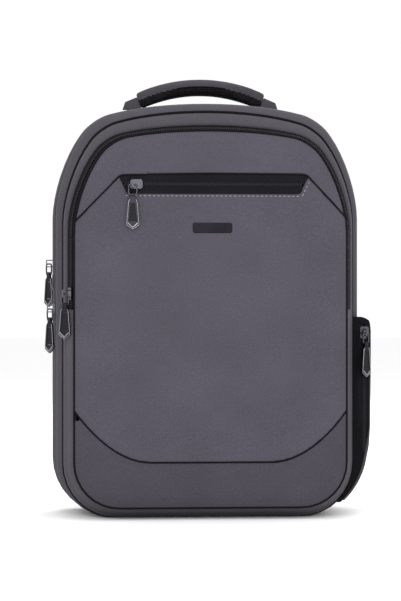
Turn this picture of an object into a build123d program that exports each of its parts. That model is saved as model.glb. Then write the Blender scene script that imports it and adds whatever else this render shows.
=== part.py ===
from build123d import *
import os
from collections import namedtuple
from math import atan2, cos, degrees, hypot, radians, sin

# Laptop backpack with a charging port. Millimetres. The front faces -Y, +X is to the right of someone
# looking at the front, +Z is up, and the origin is on the ground under the middle of the bag.
# The bag is a stack of fabric walls: back panel, laptop compartment, main compartment, front
# compartment, and a padded front panel. Three arched zips open it, and two straight ones open pockets.

os.makedirs("parts", exist_ok=True)

# ---------------------------------------------------------------- driving dimensions
WALL = 3.0             # padded fabric wall
TAPE_RECESS = 0.4      # how far a zip tape lies under the wall's face
TAPE = 2.0             # zip tape with its coil
TAPE_GAP = 1.6         # slit between a zip's two tapes, which the slider's post runs in
ZIP_WIDTH = 22.0       # both tapes of an arched zip
PANEL = 6.0            # padded front panel
BOARD = 6.0            # foam and board of the back panel
PAD = 8.0              # mesh pads on the back panel

FLAT_BACK = 68.0       # where the walls meet the back panel
LAPTOP_ZIP_Y = 51.0
DIVIDER_Y = 35.0
MAIN_ZIP_Y = -16.0
PARTITION_Y = -30.0

FOLD_Z = 205.0         # the front section folds forward here to open the main compartment
COVER_Z = 254.0        # the front panel folds forward here to open the front compartment
MAIN_ZIP_END = 212.0
FRONT_ZIP_END = 224.0
LAPTOP_ZIP_END = 262.0

# One closed outline of the bag, at one depth: a tombstone with rounded corners.
Outline = namedtuple(
    "Outline", "depth half floor shoulder corner_x corner_z apex low_r shoulder_r corner_r crown_r"
)
BACK_EDGE = Outline(FLAT_BACK, 165, 0, 373, 122.4, 432, 463, 62, 155, 52, 410)
FRONT_EDGE = BACK_EDGE._replace(depth=-27)
SEAM_LINE = Outline(-42, 156.5, 0, 366, 116, 421, 453, 58, 145, 50, 360)
ZIP_LINE = Outline(-57, 153, 5, 357, 112, 410, 433, 55, 138, 48, 450)
FACE_LINE = Outline(-80, 145.5, 13, 350, 106, 404, 423, 48, 140, 45, 480)
PANEL_FACE = FACE_LINE.depth - PANEL

FAR = 600.0            # larger than the bag, for cutting blocks


# ---------------------------------------------------------------- helpers
def xz_plane(depth):
    """A sketch plane whose x is X and whose y is Z, facing the front."""
    return Plane(origin=(0, depth, 0), x_dir=(1, 0, 0), z_dir=(0, -1, 0))


def outline_face(o, inset=0.0):
    """The outline as a face at its own depth, shrunk by inset all round."""
    right = [(o.half, o.floor), (o.half, o.shoulder), (o.corner_x, o.corner_z)]
    left = [(-x, z) for x, z in reversed(right)]
    face = make_face(Polyline(*right, (0, o.apex), *left, close=True))
    radii = [o.low_r, o.shoulder_r, o.corner_r, o.crown_r, o.corner_r, o.shoulder_r, o.low_r]
    for (x, z), radius in zip([*right, (0, o.apex), *left], radii):
        corner = face.vertices().sort_by_distance((x, z, 0))[0]
        face = fillet(corner, radius)
    if inset:
        face = offset(face, amount=-inset)
    return xz_plane(o.depth) * face


def between(a, b, depth):
    """The outline at a depth between two others."""
    share = (depth - a.depth) / (b.depth - a.depth)
    return Outline(*(p + (q - p) * share for p, q in zip(a, b)))


def solid_through(outlines, inset=0.0):
    """A closed solid that runs through the outlines, from the first depth to the last."""
    return loft([outline_face(o, inset) for o in outlines], ruled=True)


def ring(outlines, outer=0.0, inner=WALL):
    """A wall that follows the outlines, between two insets."""
    return solid_through(outlines, outer) - solid_through(outlines, inner)


def slab_at(o, depth_from, depth_to, inset):
    """A flat board with the outline's shape, inset, between two depths."""
    face = outline_face(o._replace(depth=max(depth_from, depth_to)), inset)
    return extrude(face, amount=abs(depth_to - depth_from))


def block(x0, x1, y0, y1, z0, z1):
    """A box from its six limits."""
    size = Box(x1 - x0, y1 - y0, z1 - z0)
    return Pos((x0 + x1) / 2, (y0 + y1) / 2, (z0 + z1) / 2) * size


def slice_of(y0=-FAR, y1=FAR, z0=-FAR, z1=FAR):
    """A block over the whole width, between two depths and two heights."""
    return block(-FAR, FAR, y0, y1, z0, z1)


def facing(azimuth, position):
    """Turns a piece made facing -Y about the vertical, and puts its origin at a position."""
    return Pos(*position) * Rot(0, 0, azimuth)


def save(shape, name):
    """Writes one node: its solids alone, in one compound when there are several."""
    solids = shape.solids()
    export_step(solids[0] if len(solids) == 1 else Compound(solids), f"parts/{name}.step")


# ---------------------------------------------------------------- walls and panels
def rear_shell():
    """The wall round the laptop and main compartments, with slots for their zips and the port."""
    wall = ring([BACK_EDGE, FRONT_EDGE])
    half_zip = ZIP_WIDTH / 2
    wall -= slice_of(LAPTOP_ZIP_Y - half_zip, LAPTOP_ZIP_Y + half_zip, LAPTOP_ZIP_END)
    wall -= slice_of(-FAR, MAIN_ZIP_Y + half_zip, MAIN_ZIP_END)
    return wall - block(-170, -155, *PORT_HOLE_Y, *PORT_HOLE_Z)


def zip_tapes(outlines, y0, y1, middle, z_end, z_top=FAR):
    """The two tapes of an arched zip, either side of the slit, as (back tape, front tape)."""
    band = ring(outlines, TAPE_RECESS, TAPE_RECESS + TAPE)
    back = band & slice_of(middle + TAPE_GAP / 2, y1, z_end, z_top)
    front = band & slice_of(y0, middle - TAPE_GAP / 2, z_end, z_top)
    return back, front


def front_gusset():
    """The tapering wall round the front compartment, as (lower, upper), open where its zip runs."""
    wall = ring([FRONT_EDGE, SEAM_LINE, ZIP_LINE, FACE_LINE])
    wall -= slice_of(-FAR, ZIP_LINE.depth, FRONT_ZIP_END)
    return wall & slice_of(z1=FOLD_Z), wall & slice_of(z0=FOLD_Z)


def inside_board(y_front, thickness, z_top, clear=0.4):
    """A board that fits inside the walls between the base and a height."""
    if y_front >= FRONT_EDGE.depth:
        here = BACK_EDGE
    else:
        here = between(FRONT_EDGE, SEAM_LINE, y_front)
    board = slab_at(here, y_front, y_front + thickness, WALL + clear)
    return board & slice_of(z1=z_top)


PARTITION = 2.5
DIVIDER = 4.0
DIVIDER_TOP = 385.0

# ---------------------------------------------------------------- front panel and its pocket
SLOT_TOP, SLOT_FLOOR = 366.5, 348.5
SLOT_HALF_TOP, SLOT_HALF_FLOOR = 101.0, 92.0
POCKET_ZIP_Z = (SLOT_TOP + SLOT_FLOOR) / 2
POCKET_ZIP_X = 2.0
POCKET_BAG = (9.0, 106.0, 262.0, 371.0)   # depth, half width, bottom, top
BAG_WALL = 1.2


def pocket_slot(depth_from, depth_to, shrink=0.0):
    """The slot of the front pocket's zip, wider at its top, cut between two depths."""
    corners = [
        (-SLOT_HALF_TOP + shrink, SLOT_TOP - shrink),
        (SLOT_HALF_TOP - shrink, SLOT_TOP - shrink),
        (SLOT_HALF_FLOOR - shrink, SLOT_FLOOR + shrink),
        (-SLOT_HALF_FLOOR + shrink, SLOT_FLOOR + shrink),
    ]
    face = make_face(Polyline(*corners, close=True))
    face = xz_plane(max(depth_from, depth_to)) * (Pos(POCKET_ZIP_X, 0) * face)
    return extrude(face, amount=abs(depth_to - depth_from))


def front_panel():
    """The padded front panel, with its edge sloping back to the zip and its pocket's slot."""
    raised = FACE_LINE._replace(depth=PANEL_FACE)
    body = loft([outline_face(FACE_LINE), outline_face(raised, 10)], ruled=True)
    return body - pocket_slot(PANEL_FACE - 1, FACE_LINE.depth + 1)


def pocket_tapes():
    """The two straight tapes of the front pocket's zip, set into the slot."""
    both = pocket_slot(PANEL_FACE + 1.0, PANEL_FACE + 1.0 + TAPE)
    upper = both & slice_of(z0=POCKET_ZIP_Z + TAPE_GAP / 2)
    lower = both & slice_of(z1=POCKET_ZIP_Z - TAPE_GAP / 2)
    return Compound([*upper.solids(), *lower.solids()])


def pocket_bag():
    """The lining pouch behind the slot."""
    deep, half, bottom, top = POCKET_BAG
    y0, y1 = FACE_LINE.depth, FACE_LINE.depth + deep
    w = BAG_WALL
    bag = block(-half, half, y0, y1, bottom, top)
    bag -= block(-half + w, half - w, y0 + w, y1 - w, bottom + w, top - w)
    return bag - pocket_slot(y0 - 1, y0 + 2 * w)


def emblem():
    """A plain bevelled badge."""
    plate = block(-20, 22, PANEL_FACE - 1.6, PANEL_FACE, 305.5, 316.5)
    plate = fillet(plate.edges().filter_by(Axis.Y), 2.5)
    return chamfer(plate.faces().sort_by(Axis.Y)[0].edges(), 0.5)


def organiser():
    """A flat stitched pocket for pens and cards on the partition: a sleeve open at its top."""
    y1 = PARTITION_Y
    y0 = y1 - 9
    w = 1.2
    outer = block(-110, 110, y0, y1, 212, 300)
    return outer - block(-110 + w, -2, y0 + w, y1 - w, 212 + w, 301) - block(
        2, 110 - w, y0 + w, y1 - w, 212 + w, 301
    )


# ---------------------------------------------------------------- inside the main compartment
BANK_POCKET = (-132.0, -48.0, 17.0, 110.0, 240.0)   # x limits, depth, bottom, top


def power_bank_pocket():
    """An open-topped fabric pocket on the divider, beside the port."""
    x0, x1, deep, z0, z1 = BANK_POCKET
    w = 1.5
    outer = block(x0, x1, DIVIDER_Y - deep, DIVIDER_Y, z0, z1)
    return outer - block(x0 + w, x1 - w, DIVIDER_Y - deep + w, DIVIDER_Y - w, z0 + w, z1 + 1)


def base_board():
    """The stiffener that lies on the floor of the main compartment."""
    return block(-98, 98, -26, 33, WALL + 0.2, WALL + 2.7)


# ---------------------------------------------------------------- charging port
PORT_Y, PORT_Z = 16.0, 254.0
PORT_HOLE_Y = (PORT_Y - 8.5, PORT_Y + 8.5)
PORT_HOLE_Z = (PORT_Z - 6.0, PORT_Z + 6.0)
SOCKET = (13.0, 5.6, 15.0)      # opening along Y, opening along Z, depth


def port_bezel():
    """The oval frame round the port, with a boss through the wall."""
    side = Plane(origin=(-165, PORT_Y, PORT_Z), x_dir=(0, 1, 0), z_dir=(-1, 0, 0))
    flange = extrude(side * SlotOverall(32, 18), amount=2.6)
    flange = fillet(flange.faces().sort_by(Axis.X)[0].edges(), 1.2)
    boss = block(-165, -158, PORT_Y - 8.3, PORT_Y + 8.3, PORT_Z - 5.8, PORT_Z + 5.8)
    return flange + boss - block(-170, -150, PORT_Y - 7.4, PORT_Y + 7.4, PORT_Z - 3.6, PORT_Z + 3.6)


def port_socket():
    """The metal shell of the socket, with its tongue, closed at the back."""
    wide, high, deep = SOCKET
    x0 = -167.2
    y, z, w = PORT_Y, PORT_Z, 0.7
    shell = block(x0, x0 + deep, y - wide / 2 - w, y + wide / 2 + w, z - high / 2 - w, z + high / 2 + w)
    shell -= block(x0 - 1, x0 + deep - 2, y - wide / 2, y + wide / 2, z - high / 2, z + high / 2)
    return shell + block(x0 + 2, x0 + deep, y - 5.5, y + 5.5, z - high / 2, z - high / 2 + 1.1)


# ---------------------------------------------------------------- back panel
def back_pad(x0, x1, z0, z1, radius):
    """One mesh-covered foam pad on the back panel, rounded at its corners and outer edge."""
    y0 = FLAT_BACK + BOARD
    pad = block(x0, x1, y0, y0 + PAD, z0, z1)
    pad = fillet(pad.edges().filter_by(Axis.Y), radius)
    return chamfer(pad.faces().sort_by(Axis.Y)[-1].edges(), 3)


# The strap loop: each strap stands off the back in an arch, between a top and a bottom anchor.
STRAP_TOP = (48.0, 84.0, 425.0)
STRAP_FOOT = (132.0, 84.0, 40.0)
STRAP_RISE = 42.0
STRAP_WIDE, STRAP_THICK = 62.0, 12.0
PAD_START, PAD_STOP = 30.0, 318.0
ARCH_CHORD = 360.0
WEB_WIDE, WEB_THICK = 25.0, 1.8
STRAP_RUN = hypot(STRAP_FOOT[0] - STRAP_TOP[0], STRAP_FOOT[2] - STRAP_TOP[2])
STRAP_LEAN = degrees(atan2(STRAP_FOOT[0] - STRAP_TOP[0], STRAP_TOP[2] - STRAP_FOOT[2]))
ARCH_RADIUS = ((ARCH_CHORD / 2) ** 2 + STRAP_RISE**2) / (2 * STRAP_RISE)


def on_strap(side, piece):
    """Puts a piece made along the strap (x across, y outwards, -z down the strap) on its side."""
    x, y, z = STRAP_TOP
    return Pos(side * x, y, z) * Rot(0, -side * STRAP_LEAN, 0) * piece


def arch_height(along):
    """How far the strap's inner face stands off the back, at a distance down the strap."""
    from_middle = along - ARCH_CHORD / 2
    return (ARCH_RADIUS**2 - from_middle**2) ** 0.5 - (ARCH_RADIUS - STRAP_RISE)


def side_profile(points, width):
    """Extrudes a profile drawn as (distance down the strap, height) across a width."""
    plane = Plane(origin=(-width / 2, 0, 0), x_dir=(0, 0, -1), z_dir=(1, 0, 0))
    turned = [(along, height) for along, height in points]
    return extrude(plane * make_face(Polyline(*turned, close=True)), amount=width)


def strap_pad(side):
    """The padded part of a shoulder strap, an arched slab with rounded ends."""
    axis = Axis((0, STRAP_RISE - ARCH_RADIUS, -ARCH_CHORD / 2), (1, 0, 0))
    section = Plane(origin=(0, STRAP_RISE, -ARCH_CHORD / 2), x_dir=(1, 0, 0), z_dir=(0, 0, -1))
    start = degrees(atan2(ARCH_CHORD / 2 - PAD_START, ARCH_RADIUS))
    stop = degrees(atan2(PAD_STOP - ARCH_CHORD / 2, ARCH_RADIUS))
    face = section * (Pos(0, -STRAP_THICK / 2) * RectangleRounded(STRAP_WIDE, STRAP_THICK, 5))
    pad = revolve(face.rotate(axis, start), axis=axis, revolution_arc=-(start + stop))
    return on_strap(side, pad)


def strap_end():
    """Where the padded part stops: its distance down the strap and the height of its middle."""
    angle = atan2(PAD_STOP - ARCH_CHORD / 2, ARCH_RADIUS)
    middle = ARCH_RADIUS + STRAP_THICK / 2
    return ARCH_CHORD / 2 + middle * sin(angle), middle * cos(angle) - (ARCH_RADIUS - STRAP_RISE)


BUCKLE_LONG = 22.0
BUCKLE_BAR_R = 1.5


def strap_buckle(side):
    """The ladder lock at the pad's lower end: a frame with a middle bar."""
    along, height = strap_end()
    x0 = along + 1.0
    frame = block(-18, 18, height - 2, height + 2, -x0 - BUCKLE_LONG, -x0)
    frame = fillet(frame.edges().filter_by(Axis.Y), 3)
    window = block(-14, 14, height - 5, height + 5, -x0 - BUCKLE_LONG + 3.5, -x0 - 3.5)
    bar_z = -x0 - BUCKLE_LONG / 2
    bar = Pos(0, height, bar_z) * Rot(0, 90, 0) * Cylinder(BUCKLE_BAR_R, 29)
    return on_strap(side, frame - window + bar)


def strap_webbing(side):
    """The lower webbing: a loop round the buckle's bar, the run to the foot, and the loose tail."""
    along, height = strap_end()
    bar = along + 1.0 + BUCKLE_LONG / 2
    loop_r = BUCKLE_BAR_R + 0.2
    turn = Pos(0, height, -bar) * Rot(0, 90, 0)
    loop = turn * (Cylinder(loop_r + WEB_THICK, WEB_WIDE) - Cylinder(loop_r, WEB_WIDE + 2))
    below = along + 1.0 + BUCKLE_LONG + 2
    foot = STRAP_RUN - 7
    inner = height - 2.4
    run = side_profile(
        [(bar + 2.2, inner), (below, inner - 1.0), (foot, 4.2), (foot, 4.2 - WEB_THICK),
         (below, inner - 1.0 - WEB_THICK), (bar + 2.2, inner - WEB_THICK)],
        WEB_WIDE,
    )
    drop = side_profile(
        [(bar, height - loop_r - WEB_THICK), (bar, height - loop_r),
         (bar + 2.2, inner), (bar + 2.2, inner - WEB_THICK)],
        WEB_WIDE,
    )
    over = height + 2.4
    tail = side_profile(
        [(bar, height + loop_r), (bar, height + loop_r + WEB_THICK), (bar + 5, over + WEB_THICK),
         (below + 2, over + WEB_THICK), (below + 36, height + WEB_THICK - 1), (below + 36, height - 1),
         (below + 2, over), (bar + 5, over)],
        WEB_WIDE,
    )
    return on_strap(side, loop + run + drop + tail)


def strap_yoke():
    """The reinforcement at the top of the back, with a wedge under each strap's end."""
    y0 = FLAT_BACK + BOARD
    yoke = block(-92, 92, y0, y0 + 7, 404, 434)
    yoke = fillet(yoke.edges().filter_by(Axis.Y), 8)
    for side in (-1, 1):
        wedge = side_profile([(-12, -3.5), (-12, 0.5), (PAD_START - 6, 9.0), (PAD_START - 6, -3.5)], 44)
        yoke += on_strap(side, wedge)
    return yoke


FOOT_THICK = 6.0


def strap_feet():
    """The two triangular tabs at the bottom corners that hold the lower webbing."""
    feet = []
    for side in (-1, 1):
        y0 = FLAT_BACK + BOARD
        corners = [(112, 14), (146, 48), (130, 78), (98, 46)]
        face = make_face(Polyline(*[(side * x, z) for x, z in corners], close=True))
        feet.append(extrude(xz_plane(y0 + FOOT_THICK) * face, amount=FOOT_THICK))
    return Compound([s for f in feet for s in f.solids()])


# ---------------------------------------------------------------- handle
HANDLE_Y = 66.0
HANDLE_R = 165.0
HANDLE_TOP = 473.5      # the grip's centreline at its highest
HANDLE_TURN = 25.0      # half the angle that the grip spans
HANDLE_AXIS_Z = 446.6   # the grip swings about this line
HANDLE_PLAN = [(0, 12), (26, 12), (45, 9.6), (55, 8), (64, 4.5), (72, 3)]
TAB_X = (62.0, 88.0)


def handle_grip():
    """The padded grip: a flat oval section carried along an arc, drawn in towards its ends."""
    centre_z = HANDLE_TOP - HANDLE_R
    turn = radians(-HANDLE_TURN)
    at = Plane(
        origin=(HANDLE_R * sin(turn), HANDLE_Y, centre_z + HANDLE_R * cos(turn)),
        x_dir=(0, 1, 0),
        z_dir=(cos(turn), 0, -sin(turn)),
    )
    axis = Axis((0, HANDLE_Y, centre_z), (0, 1, 0))
    arc = revolve(at * RectangleRounded(24, 18, 7.5), axis=axis, revolution_arc=2 * HANDLE_TURN)
    far_side = [(x, HANDLE_Y + w) for x, w in HANDLE_PLAN]
    near_side = [(x, HANDLE_Y - w) for x, w in reversed(HANDLE_PLAN)]
    half = extrude(Pos(0, 0, 430) * make_face(Polyline(*far_side, *near_side, close=True)), amount=80)
    return (arc & half) + (arc & mirror(half, Plane.YZ))


def handle_tabs():
    """The flat ends of the grip, from its padding down to the line it swings about."""
    inner, outer = TAB_X
    foot = HANDLE_AXIS_Z + 1.4
    corners = [(inner, foot), (outer, foot), (outer - 3, 457), (inner + 4, 465), (inner - 2, 457)]
    tabs = []
    for side in (-1, 1):
        face = make_face(Polyline(*[(side * x, z) for x, z in corners], close=True))
        tabs.append(extrude(xz_plane(HANDLE_Y + 1.5) * face, amount=3))
    return Compound([s for t in tabs for s in (t - handle_grip()).solids()])


def handle_roots():
    """The sewn stubs that the grip's two ends are folded into, on the bag's top."""
    roots = []
    for side in (-1, 1):
        stub = block(TAB_X[0] + 2, TAB_X[1] + 2, HANDLE_Y - 5, HANDLE_Y + 5, 432, HANDLE_AXIS_Z - 0.4)
        stub = stub if side > 0 else mirror(stub, Plane.YZ)
        roots.append(stub - solid_through([BACK_EDGE._replace(depth=75), FRONT_EDGE]))
    return Compound([s for r in roots for s in r.solids()])


# ---------------------------------------------------------------- side pocket
SIDE_TOP = 216.0
SIDE_FLOOR = 24.0
SIDE_WALL = 1.8
SIDE_FRONT = [(157.6, -42.6), (179.0, -38.0)]     # the sloping black front, seen from above
SIDE_OUTER = [(184.5, -30.0), (184.5, 34.0), (165.4, 48.0)]


def side_pocket_body(inset):
    """The pocket's space, bulging less towards its foot; the inner one is open to the bag's wall."""
    front = SIDE_FRONT
    outer = SIDE_OUTER
    wall_side = [(165.4, -27.4)]
    if inset:
        front = [(158.4, -40.6), (178.2, -36.2)]
        outer = [(184.5 - inset, -29.2), (184.5 - inset, 33.2), (165.4, 45.8)]
        wall_side = [(165.4, -27.4), (160.2, -36.6)]
    plan = make_face(Polyline(*front, *outer, *wall_side, close=True))
    tall = extrude(Pos(0, 0, SIDE_FLOOR + inset) * plan, amount=SIDE_TOP - SIDE_FLOOR - 2 * inset)
    top = SIDE_TOP - inset
    curve = make_face(
        ThreePointArc((162 - inset, SIDE_FLOOR), (178.6 - inset, 102), (185 - inset, 190))
        + ThreePointArc((185 - inset, 190), (180 - inset, top - 7.5), (168 - inset, top))
        + Polyline((168 - inset, top), (140, top), (140, SIDE_FLOOR), (162 - inset, SIDE_FLOOR))
    )
    return tall & extrude(xz_plane(60) * curve, amount=120)


SIDE_ZIP_TURN = degrees(atan2(SIDE_FRONT[1][1] - SIDE_FRONT[0][1], SIDE_FRONT[1][0] - SIDE_FRONT[0][0]))
SIDE_ZIP_X = 170.5
SIDE_ZIP_Y = SIDE_FRONT[0][1] + (SIDE_ZIP_X - SIDE_FRONT[0][0]) * (4.6 / 21.4)
SIDE_ZIP_Z = (96.0, 208.0)


def side_pocket():
    """The side pocket as (black front gusset, outer panel, zip tapes)."""
    shell = side_pocket_body(0) - side_pocket_body(SIDE_WALL)
    shell -= block(140, 165.35, -27.35, 60, 0, 300)
    across = facing(SIDE_ZIP_TURN, (SIDE_ZIP_X, SIDE_ZIP_Y, 0))
    z0, z1 = SIDE_ZIP_Z
    slot = across * block(-6.5, 6.5, -4, 6, z0, z1)
    gusset = (shell & slice_of(y1=-30.2)) - slot
    tape_from, tape_to = TAPE_RECESS, TAPE_RECESS + 1.2
    left = across * block(-6.5, -TAPE_GAP / 2, tape_from, tape_to, z0, z1)
    right = across * block(TAPE_GAP / 2, 6.5, tape_from, tape_to, z0, z1)
    return gusset, shell & slice_of(y0=-30.2), Compound([*left.solids(), *right.solids()])


# ---------------------------------------------------------------- zip sliders and pullers
PLATE = (10.0, 13.0)       # width and length of a slider
PLATE_GAP = 0.6            # how far the top plate stands off the tape
UNDER_GAP = 1.8            # how far the under plate lies behind the tape
PLATE_THICK = 1.2
POST = 0.7
BRIDGE_WIDE = 1.8
BRIDGE_HALF = 4.2
BRIDGE_WALL = 1.2
BRIDGE_SLACK = 1.2         # room over the loop's bar, so that the loop can also turn sideways
LOOP_WIRE = 1.7
LOOP_SIZE = (8.6, 11.0)    # width and height of the loop's centreline
LOOP_CORNER = 2.2
LOOP_DROP = 0.5            # the loop's bar hangs this far under the slider's middle
EYE_R = 2.0
PULLER_LONG = 37.0
PULLER_THICK = 2.4


def slider(tape_face, tape_thick, stand_off, along_x=False, shift=0.0):
    """A zip slider made facing -Y: two plates joined by a post, and a bridge for the loop.
    along_x lays its plates along the zip's run to the side, shift to one side of the bridge."""
    wide, long = PLATE
    top0 = tape_face - PLATE_GAP - PLATE_THICK
    under0 = tape_face + tape_thick + UNDER_GAP
    body = block(-wide / 2, wide / 2, top0, top0 + PLATE_THICK, -long / 2, long / 2)
    body = fillet(body.edges().filter_by(Axis.Y), 2.5)
    under = block(-wide / 2 + 0.5, wide / 2 - 0.5, under0, under0 + 1, -long / 2 + 0.5, long / 2 - 0.5)
    under = fillet(under.edges().filter_by(Axis.Y), 2.5)
    post = block(-POST / 2, POST / 2, top0 + 0.5, under0 + 0.5, -1.5, 1.5)
    body = body + post + under
    if along_x:
        body = Pos(shift, 0, 0) * Rot(0, 90, 0) * body
    crest = -stand_off - LOOP_WIRE / 2 - BRIDGE_SLACK - BRIDGE_WALL
    bridge = block(-BRIDGE_WIDE / 2, BRIDGE_WIDE / 2, crest, top0 + 0.2, -BRIDGE_HALF, BRIDGE_HALF)
    rounded = [e for e in bridge.edges().filter_by(Axis.X) if e.center().Y < crest + 0.1]
    bridge = fillet(rounded, 1.0)
    opening = BRIDGE_HALF - BRIDGE_WALL
    bridge -= block(-2, 2, crest + BRIDGE_WALL, top0, -opening, opening)
    return body + bridge


def loop(stand_off):
    """The wire loop between a slider and its puller, hanging with its bar under the bridge."""
    wide, high = LOOP_SIZE
    centre = -LOOP_DROP - high / 2
    path = xz_plane(-stand_off) * (Pos(0, centre) * RectangleRounded(wide, high, LOOP_CORNER))
    wire = path.wires()[0]
    start = Plane(origin=(0, -stand_off, -LOOP_DROP), x_dir=(0, 1, 0), z_dir=(1, 0, 0))
    return sweep(start * Circle(LOOP_WIRE / 2), path=wire)


def puller_shape(stand_off, shrink=0.0):
    """The long drop shape of a puller, with an arrow foot."""
    top = -LOOP_DROP - LOOP_SIZE[1]
    neck, waist, hip = 2.6 - shrink, 4.4 - shrink, 6.6 - shrink
    right = [(neck, top), (neck, top - 3.5), (waist, top - 7), (hip, top - PULLER_LONG + 5)]
    foot = (0, top - PULLER_LONG + shrink)
    left = [(-x, z) for x, z in reversed(right)]
    face = make_face(Polyline(*right, foot, *left, close=True))
    return extrude(xz_plane(-stand_off + PULLER_THICK / 2) * face, amount=PULLER_THICK)


def puller_window(stand_off, clear=0.0):
    """The opening in a puller that its soft inlay fills."""
    top = -LOOP_DROP - LOOP_SIZE[1]
    upper, lower = (2.4 - clear, top - 9 - clear), (4.4 - clear, top - PULLER_LONG + 9 + clear)
    face = make_face(Polyline(upper, lower, (-lower[0], lower[1]), (-upper[0], upper[1]), close=True))
    deep = PULLER_THICK - (0.6 if clear else -2)
    return extrude(xz_plane(-stand_off + deep / 2) * face, amount=deep)


def puller(stand_off):
    """The metal frame of a puller, with the eye that holds the loop."""
    eye_at = Pos(0, -stand_off, -LOOP_DROP - LOOP_SIZE[1]) * Rot(0, 90, 0)
    frame = puller_shape(stand_off) - puller_window(stand_off)
    frame += eye_at * Cylinder(EYE_R, 5.2)
    return frame - eye_at * Cylinder(LOOP_WIRE / 2 + 0.25, 12)


def zip_hardware(name, at, track_turn, hang_turn, stand_off, tape_face=TAPE_RECESS, tape=TAPE, **extra):
    """Writes the slider, loop, puller and inlay of one zip. at is the point on the wall's face."""
    save(facing(track_turn, at) * slider(tape_face, tape, stand_off, **extra), f"{name}_slider")
    # The loop and puller turn about the vertical through the loop's bar.
    out = radians(track_turn)
    bar = (at[0] + stand_off * sin(out), at[1] - stand_off * cos(out), at[2])
    hung = facing(hang_turn, bar) * Pos(0, stand_off, 0)
    save(hung * loop(stand_off), f"{name}_loop")
    save(hung * puller(stand_off), f"{name}_puller")
    save(hung * puller_window(stand_off, 0.15), f"{name}_puller_inlay")


NEAR, OUT, FAR_OUT = 2.95, 5.6, 6.4      # how far a loop's bar stands off: flat, turned, over the fold
FACET_TURN = degrees(atan2(ZIP_LINE.half - FACE_LINE.half, ZIP_LINE.depth - FACE_LINE.depth)) - 90
FACET_X = -(ZIP_LINE.half + FACE_LINE.half) / 2
FACET_Y = (ZIP_LINE.depth + FACE_LINE.depth) / 2

# ---------------------------------------------------------------- write every node
half_zip = ZIP_WIDTH / 2
save(rear_shell(), "rear_shell")
straight = [BACK_EDGE, FRONT_EDGE]
laptop_back, laptop_front = zip_tapes(
    straight, LAPTOP_ZIP_Y - half_zip, LAPTOP_ZIP_Y + half_zip, LAPTOP_ZIP_Y, LAPTOP_ZIP_END
)
save(Compound([*laptop_back.solids(), *laptop_front.solids()]), "laptop_zip_tapes")
main_back, main_front = zip_tapes(
    straight, FRONT_EDGE.depth, MAIN_ZIP_Y + half_zip, MAIN_ZIP_Y, MAIN_ZIP_END
)
save(main_back, "main_zip_rear_tape")
save(main_front, "main_zip_front_tape")

gusset_lower, gusset_upper = front_gusset()
save(gusset_lower, "front_gusset_lower")
save(gusset_upper, "front_gusset_upper")
facet = [ZIP_LINE, FACE_LINE]
slit_y = FACET_Y + 1.4 * cos(radians(FACET_TURN))
outer_tape, inner_tape = zip_tapes(facet, FACE_LINE.depth, ZIP_LINE.depth, slit_y, FRONT_ZIP_END)
low_inner = inner_tape & slice_of(z1=COVER_Z)
save(Compound([*outer_tape.solids(), *low_inner.solids()]), "front_zip_outer_tape")
save(inner_tape & slice_of(z0=COVER_Z), "front_zip_inner_tape")

panel = front_panel()
save(panel & slice_of(z1=FOLD_Z), "front_panel_lower")
save(panel & slice_of(z0=FOLD_Z, z1=COVER_Z), "front_panel_band")
save(panel & slice_of(z0=COVER_Z), "front_panel_cover")
save(pocket_tapes(), "pocket_zip_tapes")
save(pocket_bag(), "pocket_bag")
save(emblem(), "emblem_badge")

partition = inside_board(PARTITION_Y, PARTITION, FAR)
save(partition & slice_of(z1=FOLD_Z), "partition_lower")
save(partition & slice_of(z0=FOLD_Z), "partition_upper")
save(organiser(), "organiser_pocket")
save(inside_board(DIVIDER_Y, DIVIDER, DIVIDER_TOP), "laptop_divider")
save(power_bank_pocket(), "power_bank_pocket")
save(base_board(), "base_board")
save(port_bezel(), "port_bezel")
save(port_socket(), "port_socket")

save(slab_at(BACK_EDGE, FLAT_BACK, FLAT_BACK + BOARD, 0), "back_board")
save(back_pad(-118, -16, 128, 398, 22), "back_pad_left")
save(back_pad(16, 118, 128, 398, 22), "back_pad_right")
save(back_pad(-96, 96, 24, 116, 22), "back_pad_lumbar")
save(strap_yoke(), "strap_yoke")
save(strap_feet(), "strap_feet")
for side, word in ((-1, "left"), (1, "right")):
    save(strap_pad(side), f"strap_pad_{word}")
    save(strap_buckle(side), f"strap_buckle_{word}")
    save(strap_webbing(side), f"strap_webbing_{word}")
save(handle_grip(), "handle_grip")
save(handle_tabs(), "handle_tabs")
save(handle_roots(), "handle_roots")

gusset, outer_panel, side_tapes = side_pocket()
save(gusset, "side_pocket_gusset")
save(outer_panel, "side_pocket_panel")
save(side_tapes, "side_pocket_zip_tapes")

zip_hardware("pocket_zip", (-84, PANEL_FACE, POCKET_ZIP_Z), 0, 0, NEAR, 1.0, TAPE, along_x=True, shift=4)
zip_hardware("front_zip", (FACET_X, FACET_Y, 241), FACET_TURN, -30, FAR_OUT)
zip_hardware("main_zip", (-165, MAIN_ZIP_Y, 225), -90, -50, OUT)
zip_hardware("laptop_zip", (-165, LAPTOP_ZIP_Y, 275), -90, -50, OUT)
zip_hardware("side_zip", (SIDE_ZIP_X, SIDE_ZIP_Y, 199), SIDE_ZIP_TURN, 40, OUT, TAPE_RECESS, 1.2)
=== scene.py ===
# %% [markdown]
# # A laptop backpack, piece by piece
# This lesson dresses a finished CAD assembly of a backpack. The CAD part holds the sizes, the joints and
# the metalwork. Here every fabric wall, padded panel, zip and strap gets its real, sewn shape, and every
# surface gets a material. Lengths are in metres, the bag faces -Y and stands on z = 0.

from math import cos, pi, radians, sin, tan

import bmesh
import bpy
from mathutils import Matrix, Vector, kdtree, noise


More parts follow.
